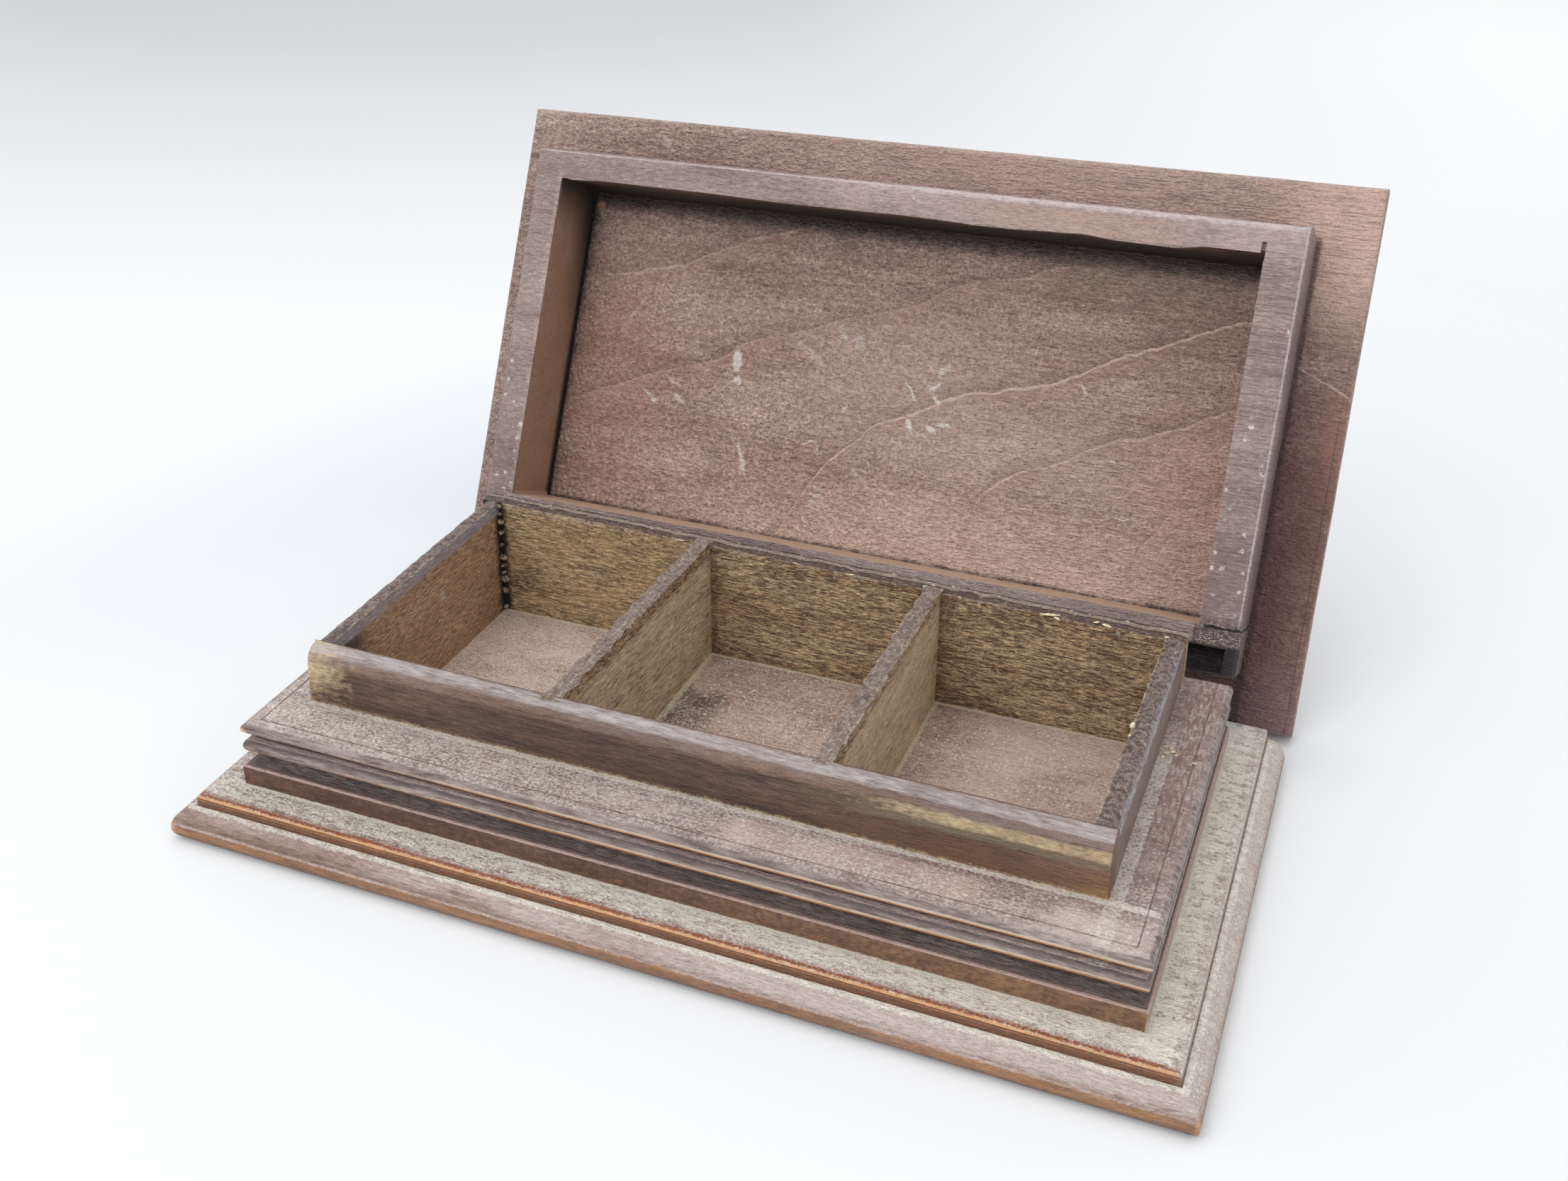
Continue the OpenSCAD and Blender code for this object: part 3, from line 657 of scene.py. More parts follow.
back_wall = block("tray_back", tray[0], tray[1], tray[3] - wall, tray[3], floor_z, tray_top)
saw(back_wall, 0, steps(tray[0], tray[1], 0.8))
saw(back_wall, 1, steps(tray[3] - wall, tray[3], 0.7))
saw(back_wall, 2, [10, 15, 20, 24, 27, 28.0, 28.8])
tip(back_wall, 26.5, -0.7, "Y", (tray[0], 36, tray_top))
gather(back_wall, "top", lambda at: (at.z - 25.4) / 2.0)
wear(back_wall, 0.8, 3, "top", "Z")
wear(back_wall, 0.4, 1.4, "top", "Y")
wood, tree, place, colour, height = wall_wood("golden_back_wall", "x", (34.25, 37.5))
along, deep_in, up = add(tree, "SeparateXYZ", {"Vector": place}).node.outputs[:]
top = (up, 27.0, 27.5)
inner_side = (deep_in, 34.5, 34.3)
# the top: a pale strip between two dark lines, crumbs, and a dull strip in front
strip = cover(tree, band(tree, deep_in, 36.2, 37.8, 0.15), top)
colour = coat(tree, colour, "#bba697", settle(tree, place, cover(tree, strip, 0.85), 0.6, 3, 1.0, 1.2))
line = cover(tree, widest(tree, band(tree, deep_in, 35.95, 36.1, 0.15),
                          band(tree, deep_in, 37.35, 37.6, 0.1)), top)
colour = coat(tree, colour, "#3b2d28", settle(tree, place, cover(tree, line, 0.85), 0.6, 3))
crumbs = cover(tree, specks(tree, place, 1.1, 0.4, 0.35), top)
colour = coat(tree, colour, "#e0d3bf", crumbs)
front_band = cover(tree, band(tree, deep_in, 34.5, 35.9, 0.2), top, 0.6)
colour = coat(tree, colour, "#6a5246", settle(tree, place, front_band, 0.6, 3))
# the inner side: paler to the left, dark in the back left corner, and painted shade beside each divider
lighter = cover(tree, (along, 0.0, -30.0, 0.1, 0.34), inner_side)
colour = coat(tree, colour, "#e0b98a", settle(tree, place, lighter, 0.6, 7))
dark_corner = cover(tree, (along, -62.2, -64.2), inner_side)
colour = coat(tree, colour, "#2e2722", settle(tree, place, dark_corner, 0.8, 2.5, 0.9, 1.0))
for left, far in ((-19.5, -15.0), (24.3, 29.0)):
    painted_shade = cover(tree, (along, far, left, 0.0, 0.45), (along, left - 1.0, left - 0.5), inner_side)
    colour = coat(tree, colour, "#5c4331", settle(tree, place, painted_shade, 0.8, 4))
outer_face = cover(tree, (deep_in, tray[3] - 0.4, tray[3] - 0.2), (up, 28.0, 27.4), 0.8)
colour = coat(tree, colour, "#8c756a", settle(tree, place, outer_face, 0.8, 8))
dress(back_wall, "box", "tray_wood", ["tray_back_wall"], seal(wood, tree, colour, height, 0.5, 0.22))

for side, outer, inward in (("left", tray[0], 1.0), ("right", tray[1], -1.0)):
    inner = outer + inward * wall
    x0, x1 = sorted((outer, inner))
    end_wall = block("tray_" + side, x0, x1, tray[2] + wall, tray[3] - wall, floor_z, tray_top)
    pick(end_wall, "EDGE",
         lambda mid, span: mid.z > tray_top - 0.1 and span.y > 50 and abs(mid.x - outer) < 0.1)
    bpy.ops.mesh.bevel(offset=1.8 * mm, segments=6, profile=0.5, affect="EDGES")
    saw(end_wall, 1, steps(tray[2] + wall, tray[3] - wall, 0.8))
    saw(end_wall, 0, steps(x0, x1, 0.7))
    saw(end_wall, 2, [10, 15, 20, 24, 27])
    if side == "right":
        tip(end_wall, 27.0, 1.3, "X", (x0, tray[2] + wall, tray_top))
    gather(end_wall, "top", lambda at: (at.z - 26.0) / 2.0)
    wear(end_wall, 0.6, 3, "top", "Z")
    wear(end_wall, 0.4, 1.4, "top", "X")
    wood, tree, place, colour, height = wall_wood("golden_%s_wall" % side, "y", (inner,), 0.675)
    along, deep_in, up = add(tree, "SeparateXYZ", {"Vector": place}).node.outputs[:]
    # the left wall is redder and lighter below its top, as painted light; dark stain in front, dark in the
    # back corner, and a spot of paint
    if side == "left":
        warm = settle(tree, place, (up, 30.0, 28.5, 0.0, 0.55), 0.9, 11, 0.8, 1.0, 2.0)
        colour = coat(tree, colour, "#c48f70", warm, 0.8)
        dark = spot(tree, place, (-64.5, -20.0, 25.0), (4, 9, 6))
        colour = coat(tree, colour, "#54423d", settle(tree, place, (dark, 1.2, 0.3), 0.9, 3, 0.9, 1.0))
        dark_corner = cover(tree, (deep_in, 31.0, 34.0), (along, -64.8, -64.6))
        colour = coat(tree, colour, "#2e2722", settle(tree, place, dark_corner, 0.8, 2.5))
        paint_spot = spot(tree, place, (-64.5, 12.0, 20.5), (4, 1.4, 2.2))
        colour = coat(tree, colour, "#d9cdbb", settle(tree, place, (paint_spot, 1.1, 0.4, 0.0, 0.6), 0.6, 2))
    # a highlight painted along the rounded outer edge of the top, drawn out in streaks
    highlit_round_edge = cover(tree, (facing_up(tree), 0.95, 0.5), (up, 27.0, 27.5), 0.65)
    drawn = add(tree, "VectorMath", {0: place, 1: (1.0, 0.2, 1.0)}, operation="MULTIPLY")
    colour = coat(tree, colour, "#b3adb6", settle(tree, drawn, highlit_round_edge, 0.5, 3, 1.2, 1.0))
    outer_face = cover(tree, (along, outer + 0.4 * inward, outer + 0.2 * inward), (up, 28.0, 27.4), 0.8)
    colour = coat(tree, colour, "#8c756a", settle(tree, place, outer_face, 0.8, 8))
    dress(end_wall, "box", "tray_wood", ["tray_%s_wall" % side], seal(wood, tree, colour, height, 0.42, 0.22))

# ---------------------------------------------------------------- Dividers
# Two thin cross pieces slid into slots in the front and back walls. Their tops
# are torn and uneven, worn pale along both edges, and the left one sits askew.
half = 1.5    # half a divider's thickness
ends = (tray[2] + 2.0, tray[3] - 2.0)    # in the slots of the front and back walls
for side, x in (("left", -21.2), ("right", 22.7)):
    divider = block("divider_" + side, x - half, x + half, ends[0], ends[1], floor_z, tray_top)
    saw(divider, 1, steps(ends[0], ends[1], 0.6))
    saw(divider, 0, steps(x - half, x + half, 0.6))
    saw(divider, 2, [10, 15, 20, 24, 27, 28.2, 28.9, 29.3])
    if side == "right":
        tip(divider, 26.8, 0.9, "X", (x, tray[2] + wall, tray_top))
    else:
        bpy.ops.mesh.select_all(action="SELECT")
        bpy.ops.transform.rotate(value=math.radians(1.3), orient_axis="Z", orient_type="GLOBAL",
                                 center_override=(x * mm, tray[3] * mm, 0))
    gather(divider, "top", lambda at: (at.z - 26.2) / 2.2)
    wear(divider, 1.3, 2.5, "top", "Z")
    wear(divider, 1.0, 1.4, "top", "X")
    lean = 0.7 if side == "left" else 0.0
    faces = (x - half + lean, x + half + lean)
    wood, tree, place, colour, height = wall_wood("golden_divider_" + side, "y", faces, 0.675)
    along, deep_in, up = add(tree, "SeparateXYZ", {"Vector": place}).node.outputs[:]
    drawn = add(tree, "VectorMath", {0: place, 1: (1.0, 0.16, 1.0)}, operation="MULTIPLY")
    pale = cover(tree, (up, 28.0, 26.5, 0.0, 0.5 if side == "left" else 0.6))
    colour = coat(tree, colour, "#f4deba", settle(tree, drawn, pale, 0.5, 2.4, 1.2, 0.9, 1.2))
    crest = cover(tree, (facing_up(tree), 0.3, 0.7), (up, 26.0, 26.5), 0.5)
    colour = coat(tree, colour, "#c0aca0", settle(tree, place, crest, 0.7, 5, 1.1, 0.9))
    dress(divider, "box", "tray_wood", ["tray_divider_" + side], seal(wood, tree, colour, height, 0.52, 0.22))

# ---------------------------------------------------------------- Glue and litter
# Glue squeezed out and left to harden in the back left corner, and what has
# fallen on the box since: straw husk, splinters, crumbs of paint and a hair.
def bit(x, y, z, long, wide, high, turn=0.0):
    """A small lump round a middle, its length turned about the vertical, in millimetres and degrees."""
    choose()
    bpy.ops.mesh.primitive_ico_sphere_add(subdivisions=3, radius=0.5 * mm, location=(x * mm, y * mm, z * mm),
                                          rotation=(0, 0, math.radians(turn)), scale=(long, wide, high))
    bpy.ops.object.transform_apply(location=True, rotation=True, scale=True)
    return bpy.context.object


def gathered(name, bits):
    """Makes one piece of several small ones."""
    choose(bits[0])
    for each in bits:
        each.select_set(True)
    bpy.ops.object.join()
    bits[0].name = bits[0].data.name = name
    return bits[0]


# down the corner, each: height of its middle, width and height
drops = [(29.0, 0.9, 0.9), (25.6, 1.5, 1.2), (23.3, 1.1, 0.9), (17.7, 1.9, 1.3), (16.0, 1.5, 0.8),
         (12.9, 2.2, 1.5), (10.3, 1.6, 1.3), (6.6, 1.0, 0.8), (14.4, 0.9, 0.6), (20.6, 0.8, 0.7),
         (27.3, 0.8, 0.6)]
glue = gathered("glue_drops", [bit(-64.2, 33.9, z, wide, 1.2, high) for z, wide, high in drops])
wear(glue, 0.5, 0.5)
# hide glue dries brittle and half glossy, from clear amber to dirty brown
hard, tree, place = new_material("hardened_hide_glue")
colour = coat(tree, to_linear("#54432f"), "#b8a68c", (cloudy(tree, place, 0.5, 3.0, 0.6), 0.42, 0.6))
dress(glue, "box", "tray_wood", [], seal(hard, tree, colour, cloudy(tree, place, 0.4), 0.45))

# each: middle along, back and up, length, width, height and turn
litter = [(43.6, 34.1, 28.5, 3.4, 0.7, 0.25, 14), (44.9, 33.6, 28.3, 1.6, 0.5, 0.2, -35),
          (53.2, 34.3, 28.35, 1.9, 0.7, 0.3, -20), (51.4, 34.6, 28.45, 1.1, 0.5, 0.3, 30),
          (63.2, 34.4, 28.3, 0.9, 0.6, 0.4, 0), (21.0, 34.8, 28.75, 0.7, 0.5, 0.4, 40),
          (-25.8, 34.0, 29.2, 1.6, 0.35, 0.2, 8), (-3.0, 34.1, 28.9, 1.3, 0.3, 0.2, -12),
          (7.6, 34.0, 28.8, 1.5, 0.35, 0.2, 20), (67.6, 14.0, 19.46, 1.0, 0.9, 0.22, 0),
          (68.5, 14.6, 19.46, 0.9, 0.7, 0.22, 40), (68.1, 15.4, 19.46, 0.7, 0.6, 0.2, 0),
          (69.2, 13.8, 19.46, 0.6, 0.6, 0.2, 0), (67.3, 12.6, 19.46, 0.7, 0.5, 0.2, 60),
          (72.1, 12.7, 19.46, 0.7, 0.6, 0.2, 0), (63.1, 5.0, 29.1, 0.8, 1.5, 0.9, 0),
          (63.2, 2.2, 28.9, 0.5, 0.9, 0.5, 0), (56.6, -25.8, 19.44, 2.3, 0.2, 0.15, 68)]
litter = gathered("litter", [bit(*each) for each in litter])
wear(litter, 0.25, 0.4)
# a hair that has fallen against the back wall
hair = []
strand = [(-18.1, 34.0, 6.2), (-16.3, 34.0, 8.0), (-14.7, 34.0, 9.3), (-12.9, 34.0, 10.9),
          (-11.0, 34.0, 12.0), (-9.4, 34.05, 12.6), (-8.0, 34.1, 12.7)]
for start, end in zip(strand, strand[1:]):
    start, end = Vector(start) * mm, Vector(end) * mm
    choose()
    bpy.ops.mesh.primitive_cylinder_add(vertices=8, radius=0.06 * mm, depth=(end - start).length * 1.04,
                                        location=(start + end) / 2,
                                        rotation=(end - start).to_track_quat("Z", "Y").to_euler())
    bpy.ops.object.transform_apply(location=True, rotation=True, scale=True)
    hair.append(bpy.context.object)
hair = gathered("fallen_hair", hair)
# straw and old paint dry out to a pale, dull yellow
husk, tree, place = new_material("dry_straw_and_paint_crumbs")
colour = coat(tree, to_linear("#c9b98c"), "#efe5c6", (cloudy(tree, place, 0.6, 3.0), 0.4, 0.6))
husk = seal(husk, tree, colour, cloudy(tree, place, 0.4), 0.6)
dress(litter, "box", "tray_wood", [], husk)
dress(hair, "box", "tray_wood", [], husk)

# ---------------------------------------------------------------- Lid frame
# One thick board with its middle cut out, so that the grain runs along the box
# in all four rails. A groove along the back rail clears the hinge. It is shaped
# lying shut and then swung back.
hinge_y, hinge_z, swing = 43.9, 20.1, 115.8    # the rod's middle, and how far the lid stands open
frame_out = (-74.7, 74.1, -31.75, 46.5)    # outer faces: left, right, front and back
opening = (-68.4, 67.0, -25.85, 38.2)
frame_z0, frame_z1 = 19.7, 35.5
# how far the front rail's inner arris strays from true, towards the back, at places along it
stray = [(-67, 0.3), (-60, -0.15), (-50, -0.15), (-40, -0.15), (-30, 0.0), (-21, 0.2), (-10, 0.1), (2, 0.0),
         (12, 0.18), (16, 0.38), (23, 0.33), (31, -0.07), (36, -0.22), (41, 0.28), (47, 0.33), (52, 0.4),
         (57, -0.45), (62, -1.0), (67, -1.1)]
furthest = 1.3    # more than it strays anywhere, either way


def swing_back(obj):
    """Turns a piece of the shut lid about the hinge to where it rests open."""
    start_edit(obj)
    bpy.ops.mesh.select_all(action="SELECT")
    bpy.ops.transform.rotate(value=math.radians(swing), orient_axis="X", orient_type="GLOBAL",
                             center_override=(0, hinge_y * mm, hinge_z * mm))


rails = block("lid_rails", *frame_out, frame_z0, frame_z1)
pick(rails, "EDGE", lambda mid, span: mid.z < frame_z0 + 0.1 and (span.x < 1 or mid.y < 0))
bpy.ops.mesh.bevel(offset=1.5 * mm, segments=4, profile=0.5, affect="EDGES")
cut_out(rails, *opening, frame_z0 - 5, frame_z1 + 5)
# a saw cut run past the corner of the opening
cut_out(rails, 66.3, 67.1, -28.2, -25.0, frame_z0 - 5, frame_z0 + 1.2)
choose()
bpy.ops.mesh.primitive_cylinder_add(vertices=48, radius=2.1 * mm, depth=170 * mm,
                                    location=(-13.1 * mm, hinge_y * mm, hinge_z * mm),
                                    rotation=(0, math.pi / 2, 0))
pare(rails, bpy.context.object)
start_edit(rails)
saw(rails, 0, steps(frame_out[0], frame_out[1], 1.2))
saw(rails, 1, [opening[2] - 0.4] + steps(frame_out[2], frame_out[3], 1.2))
saw(rails, 2, [20.2, 21.5, 24, 28, 32])


def astray(at):
    """How far the arris strays at a corner of the rail, less the deeper it lies, in millimetres."""
    if abs(at.y - opening[2]) > 0.05 or at.z > 23.2 or not stray[0][0] <= at.x < stray[-1][0]:
        return 0.0
    left, right = next(pair for pair in zip(stray, stray[1:]) if pair[0][0] <= at.x < pair[1][0])
    reach = left[1] + (right[1] - left[1]) * (at.x - left[0]) / (right[0] - left[0])
    return reach * (1.0 if at.z < 20.0 else 0.8 if at.z < 21.0 else 0.45)


for way, name in ((1, "bowed_back"), (-1, "bowed_forward")):
    gather(rails, name, lambda at: way * astray(at) / furthest)
    bowed = rails.modifiers.new(name, "DISPLACE")
    bowed.strength = way * furthest * mm
    bowed.mid_level = 0.0
    bowed.direction = "Y"
    bowed.vertex_group = name
    bpy.ops.object.modifier_apply(modifier=name)
wear(rails, 0.2, 6)
swing_back(rails)
wood, tree, place, colour, height = stained_wood("dull_stained_lid_frame", "x", "#7d6762", "#9f8983",
                                                 "#b09b94", (2.2, 0.24), 0.3,
                                                 hinge=(hinge_y, hinge_z, swing))
along, down, thick = add(tree, "SeparateXYZ", {"Vector": place}).node.outputs[:]
# the sawn face: saw lines down the right end, the front rail dark to the left and pale to
# the right, pale inner arrises
end_rail = widest(tree, (along, 66.6, 67.2), (along, -68.0, -68.6))
face = cover(tree, (thick, 20.0, 19.8))
front_rail = cover(tree, (down, -25.4, -26.2))
saw_line = cover(tree, (cloudy(tree, place, (30, 0.38, 30)), 0.52, 0.66, 0.0, 0.5), (along, 66.6, 67.2))
colour = coat(tree, colour, "#6a5550", saw_line)
dark_left = cover(tree, front_rail, (along, -25.0, -70.0, 0.0, 0.5))
colour = coat(tree, colour, "#7b6660", settle(tree, place, dark_left, 0.8, 8, 0.8, 0.8, 1.6))
low_right = cover(tree, end_rail, (down, -5.0, 35.0, 0.0, 0.55))
colour = coat(tree, colour, "#836c68", settle(tree, place, low_right, 0.8, 6))
light_right = cover(tree, front_rail, (along, -50.0, 20.0, 0.1, 0.5))
colour = coat(tree, colour, "#bfa8a1", settle(tree, place, light_right, 0.8, 8, 0.8, 0.8, 1.6))
top_streak = cover(tree, band(tree, down, -31.9, -30.6, 0.4), (along, -20.0, 10.0, 0.05, 0.55))
colour = coat(tree, colour, "#cdbcba", settle(tree, place, top_streak, 0.8, 6))
tan = cover(tree, band(tree, down, -29.5, -26.5, 1.2), band(tree, along, 26, 42, 20), 0.45)
colour = coat(tree, colour, "#b8957f", settle(tree, place, tan, 0.8, 8, 0.8, 0.9, 2.0))
inner_arris = cover(tree, band(tree, along, -69.2, -68.3, 0.2), face)
inner_arris = widest(tree, inner_arris, cover(tree, band(tree, along, 66.9, 67.5, 0.15), face, 0.6))
colour = coat(tree, colour, "#cdb7a4", settle(tree, place, cover(tree, inner_arris, 0.28), 0.6, 3))
chips = cover(tree, specks(tree, place, 2.1, 0.5, 0.2), end_rail, (down, -2.0, 20.0, 0.12, 1.0))
# flakes of white paint, as places along and down the frame's face
flakes = [(-70.6, 24.9), (-68.9, 24.3), (-69.1, 27.0), (-69.4, 29.7), (-72.3, 35.0), (-70.6, 34.4),
          (-70.4, 37.4), (-69.2, 31.2), (68.2, 19.6), (68.4, 17.8), (72.5, 10.1), (72.9, 11.3), (71.8, 21.8),
          (71.8, 24.7), (69.1, 28.3), (72.6, 28.4), (68.4, 33.0), (72.5, 31.8), (72.6, 35.7), (69.9, 3.6),
          (69.1, 5.8), (73.4, -13.2), (72.5, 9.9), (4.0, -29.2)]
shake = 1.6    # their outlines are shaken by up to this much, and by half of it on the whole
ragged = cloudy(tree, place, 0.5).node.outputs["Color"]
ragged = add(tree, "VectorMath", {0: ragged, 1: (shake, shake, 0.0), 2: place}, operation="MULTIPLY_ADD")
for x, y in flakes:
    flake = spot(tree, ragged, (x + shake / 2, y + shake / 2, frame_z0),
                 (0.42 + 0.2 * math.sin(9 * x), 0.36 + 0.14 * math.sin(7 * y), 30))
    chips = widest(tree, (flake, 1.3, 0.5, 0.0, 0.85), chips)
chips = cover(tree, chips, face)
colour = coat(tree, colour, "#e6dcd3", chips)
# the outer arrises, pale with worn chips and a painted highlight, the outer sides in painted shade,
# and the back right corner, where the wood is crazed and split
arris_wear_and_highlight = widest(tree, band(tree, along, 73.35, 73.6, 0.12), band(tree, down, -31.2, -31.0, 0.12))
colour = coat(tree, colour, "#cdbfbb", settle(tree, place, cover(tree, arris_wear_and_highlight, 0.6), 0.5, 5))
outer = widest(tree, (along, 73.7, 73.9), (along, -74.3, -74.5), (down, -31.4, -31.6))
colour = coat(tree, colour, "#6c5550", outer, 0.6)
end_grain = cover(tree, band(tree, along, 66.5, 75.5, 0.6), (down, 36.0, 38.5))
colour = coat(tree, colour, "#5a4440", settle(tree, place, cover(tree, end_grain, 0.85), 0.7, 2.5))
shaken = add(tree, "VectorMath", {0: cloudy(tree, place, 0.8, 3.0).node.outputs["Color"], 1: (1.8, 1.8, 1.8),
                                  2: place}, operation="MULTIPLY_ADD")
shaken = add(tree, "VectorMath", {0: shaken, 1: (0.7, 1.6, 1.6)}, operation="MULTIPLY")
crazed = add(tree, "TexVoronoi", {"Vector": shaken, "Scale": 0.9}, feature="DISTANCE_TO_EDGE")
crazed = cover(tree, (crazed, 0.07, 0.02, 0.0, 0.75), end_grain)
colour = coat(tree, colour, "#c2b0a8", settle(tree, place, crazed, 0.6, 2))
crack_y = build_up(tree, down, (cloudy(tree, place, 2.5), 1.6))
crack = cover(tree, band(tree, crack_y, 39.1, 39.3, 0.15), (along, 67.5, 68.2))
colour = coat(tree, colour, "#1f1817", crack)
# the inner sides: nearly black in front, warm at the left with painted shade towards the board and the front,
# pale behind
wall_side = cover(tree, (thick, 19.95, 20.6))
between_ends = band(tree, along, opening[0] - 0.3, opening[1] + 0.3, 0.3)
front_inner = cover(tree, wall_side, band(tree, down, -26.6, -24.4, 0.3), between_ends)
colour = coat(tree, colour, "#1d1715", front_inner)
warm_spot = cover(tree, front_inner, (thick, 27.0, 21.5, 0.0, 0.5))
colour = coat(tree, colour, "#6e4732", settle(tree, place, warm_spot, 0.9, 9, 0.6, 1.2))
within = band(tree, down, opening[2] - 0.3, opening[3] + 0.3, 0.3)
left_inner = cover(tree, wall_side, band(tree, along, -69.0, -67.6, 0.2), within)
colour = coat(tree, colour, "#b59078", left_inner)
colour = coat(tree, colour, "#8e6853", settle(tree, place, cover(tree, left_inner, 0.3), 0.9, 7))
shadow_left = widest(tree, (thick, 33.8, 35.2), cover(tree, (thick, 27.0, 34.0), (down, 12.0, -18.0)))
colour = coat(tree, colour, "#33261f", left_inner, shadow_left, 0.9)
colour = coat(tree, colour, "#2c2423", left_inner, (down, -17.0, -25.0, 0.0, 0.9))
back_inner = cover(tree, wall_side, band(tree, down, 37.6, 38.8, 0.2), between_ends)
colour = coat(tree, colour, "#cba890", settle(tree, place, cover(tree, back_inner, 0.75), 0.8, 8))
# painted shade in the hinge groove, and dark wood with painted shade beside it
groove = add(tree, "VectorMath", {0: add(tree, "CombineXYZ", {"Y": down, "Z": thick}),
                                  1: (0, hinge_y, hinge_z)}, operation="DISTANCE", out="Value")
colour = coat(tree, colour, "#2e2421", (groove, 4.6, 3.6, 0.0, 0.85), (down, 41.0, 41.8))
colour = coat(tree, colour, "#1c1513", (groove, 2.5, 2.25))
height = build_up(tree, height, (chips, 1.2), (crack, -6.0), (saw_line, -0.8))
dress(rails, "lid", "frame_wood", ["lid_frame"], seal(wood, tree, colour, height, 0.5))

# ---------------------------------------------------------------- Lid board
# The flat board glued over the frame, standing past it all round. Its inner
# face is the bottom of the recess: rotary figure in pale wavy growth lines,
# dulled in the middle by dust and scored by whatever was kept in the box.
board_out = (-85.2, 84.6, -42.05, 56.2)    # outer faces: left, right, front and back
board_top = 41.5
board = block("lid_board", *board_out, frame_z1, board_top)
pick(board, "EDGE", lambda mid, span: mid.z > board_top - 0.1)
bpy.ops.mesh.bevel(offset=1.5 * mm, segments=5, profile=0.5, affect="EDGES")
pick(board, "EDGE", lambda mid, span: mid.z < frame_z1 + 0.1 and (span.x > 1 or span.y > 1))
bpy.ops.mesh.bevel(offset=0.8 * mm, segments=4, profile=0.5, affect="EDGES")
saw(board, 0, steps(board_out[0], board_out[1]))
saw(board, 1, steps(board_out[2], board_out[3]))
wear(board, 0.16, 10)
swing_back(board)
wood, tree, place, colour, height = stained_wood("pink_stained_lid_board", "x", "#8f7066", "#ad9084",
                                                 "#bba094", (1.6, 0.42), 0.26, 0.22,
                                                 (hinge_y, hinge_z, swing))
along, down, thick = add(tree, "SeparateXYZ", {"Vector": place}).node.outputs[:]
inner_face = cover(tree, (thick, 36.2, 35.8))
recess = cover(tree, band(tree, along, opening[0], opening[1], 0.2),
               band(tree, down, opening[2], opening[3], 0.2), inner_face)
# tones of the recess: reddish left, grey dusty middle, dark along the top in painted shade under the front
# rail, pink low right; each as a colour, the middle along and down, the width and depth, and the strength
tones = (("#a97f71", -58, 10, 22, 40, 0.5), ("#b9a296", 2, 6, 36, 22, 0.5), ("#665348", -5, -25, 90, 6, 0.4),
         ("#baa294", 30, 14, 40, 14, 0.5), ("#c79e8e", 62, 16, 18, 20, 0.5), ("#cdb0a3", 20, 36, 84, 16, 0.6),
         ("#8f7c6b", 46, -21, 34, 9, 0.5), ("#857061", -25, -22, 44, 6, 0.45))
for code, x, y, wide, deep, much in tones:
    much = cover(tree, (spot(tree, place, (x, y, frame_z1), (wide, deep, 60)), 1.15, 0.3, 0.0, much))
    colour = coat(tree, colour, code, settle(tree, place, cover(tree, much, recess), 0.9, 7, 0.6, 0.6, 2.0))
# mottled all over, in round flecks to the left and drawn out along the grain to the right
mottle = cover(tree, (cloudy(tree, place, (0.95, 0.7, 0.7), 2.0, 0.75), 0.33, 0.67))
long_mottle = cover(tree, (cloudy(tree, place, (2.4, 0.36, 0.36), 2.0, 0.6), 0.35, 0.65))
lengthwise = cover(tree, (along, -10.0, 40.0))
mottle = add(tree, "Mix", {0: cover(tree, lengthwise, 0.6), 2: mottle, 3: long_mottle}, data_type="FLOAT")
# the recess painted about a fifth lighter than the margin: painted light
shade = cover(tree, (mottle, 0.0, 1.0, 0.7, 1.28), (recess, 0.0, 1.0, 1.0, 1.22))
colour = add(tree, "VectorMath", {0: colour, "Scale": shade}, operation="SCALE")
height = build_up(tree, height, (mottle, 2.4))
pits = cover(tree, (cloudy(tree, place, (0.6, 0.5, 0.5), 3.0, 0.7), 0.56, 0.68, 0.0, 0.35), recess)
colour = coat(tree, colour, "#574036", pits)
height = build_up(tree, height, (pits, -1.6))
# growth lines, each a pale thread over a soft shadow, as places along and down the panel
growth = [(0.6, [(-62.4, -9.2), (-59.3, -9.8), (-50.9, -12.0), (-44.5, -13.6), (-40.9, -15.7),
                 (-34.8, -18.2), (-32.4, -19.7), (-26.3, -21.6), (-20, -23.8)]),
          (0.45, [(-66, 17.2), (-62.4, 15.6), (-53.5, 11.8), (-49.7, 9.9), (-42.1, 7.4), (-33.5, 3.8),
                  (-31.3, 1.6), (-22.9, -1.6), (-16.9, -3.6), (-11.1, -6.2), (-2.9, -8.7), (3.9, -11.0),
                  (9.9, -15.0), (15.9, -17.1), (22.6, -18.5), (30.6, -21.5)]),
          (0.9, [(-18.2, 38.2), (-15.3, 33.3), (-11.1, 25.4), (-8.1, 20.7), (-3.3, 16.4), (-1.9, 14.1),
                 (3.7, 11.2), (9.2, 8.3), (13.9, 5.3), (21.2, 3.4), (28.8, 1.1), (34.2, -0.5), (40.7, -4.6),
                 (47.8, -8.0), (55.8, -11.8), (67, -16.0)]),
          (0.65, [(20.7, 30.4), (21.2, 26.4), (22.4, 22.8), (23.9, 21.2), (29.0, 17.5), (33.8, 15.6),
                  (38.5, 13.1), (41.4, 11.0), (46.6, 8.8), (51.5, 7.3), (57.0, 4.8), (67, 0.0)]),
          (0.55, [(51.9, 33.2), (52.5, 29.4), (53.5, 26.8), (55.7, 24.2), (56.9, 21.5), (59.8, 19.6),
                  (63.2, 18.2), (67, 15.6)])]
wander = cover(tree, (cloudy(tree, place, 4.0, 3.0), 0.3, 0.7, -0.4, 0.4))
strayed = add(tree, "Math", {0: down, 1: wander}, operation="ADD")
half = 70.0    # each line is a curve from this far left of the middle to as far right
far_down, tall = -30.0, 80.0    # and its height runs this much, from this place down the panel
span = cover(tree, (along, -half, half))
threads = shadows = glow = 0.0
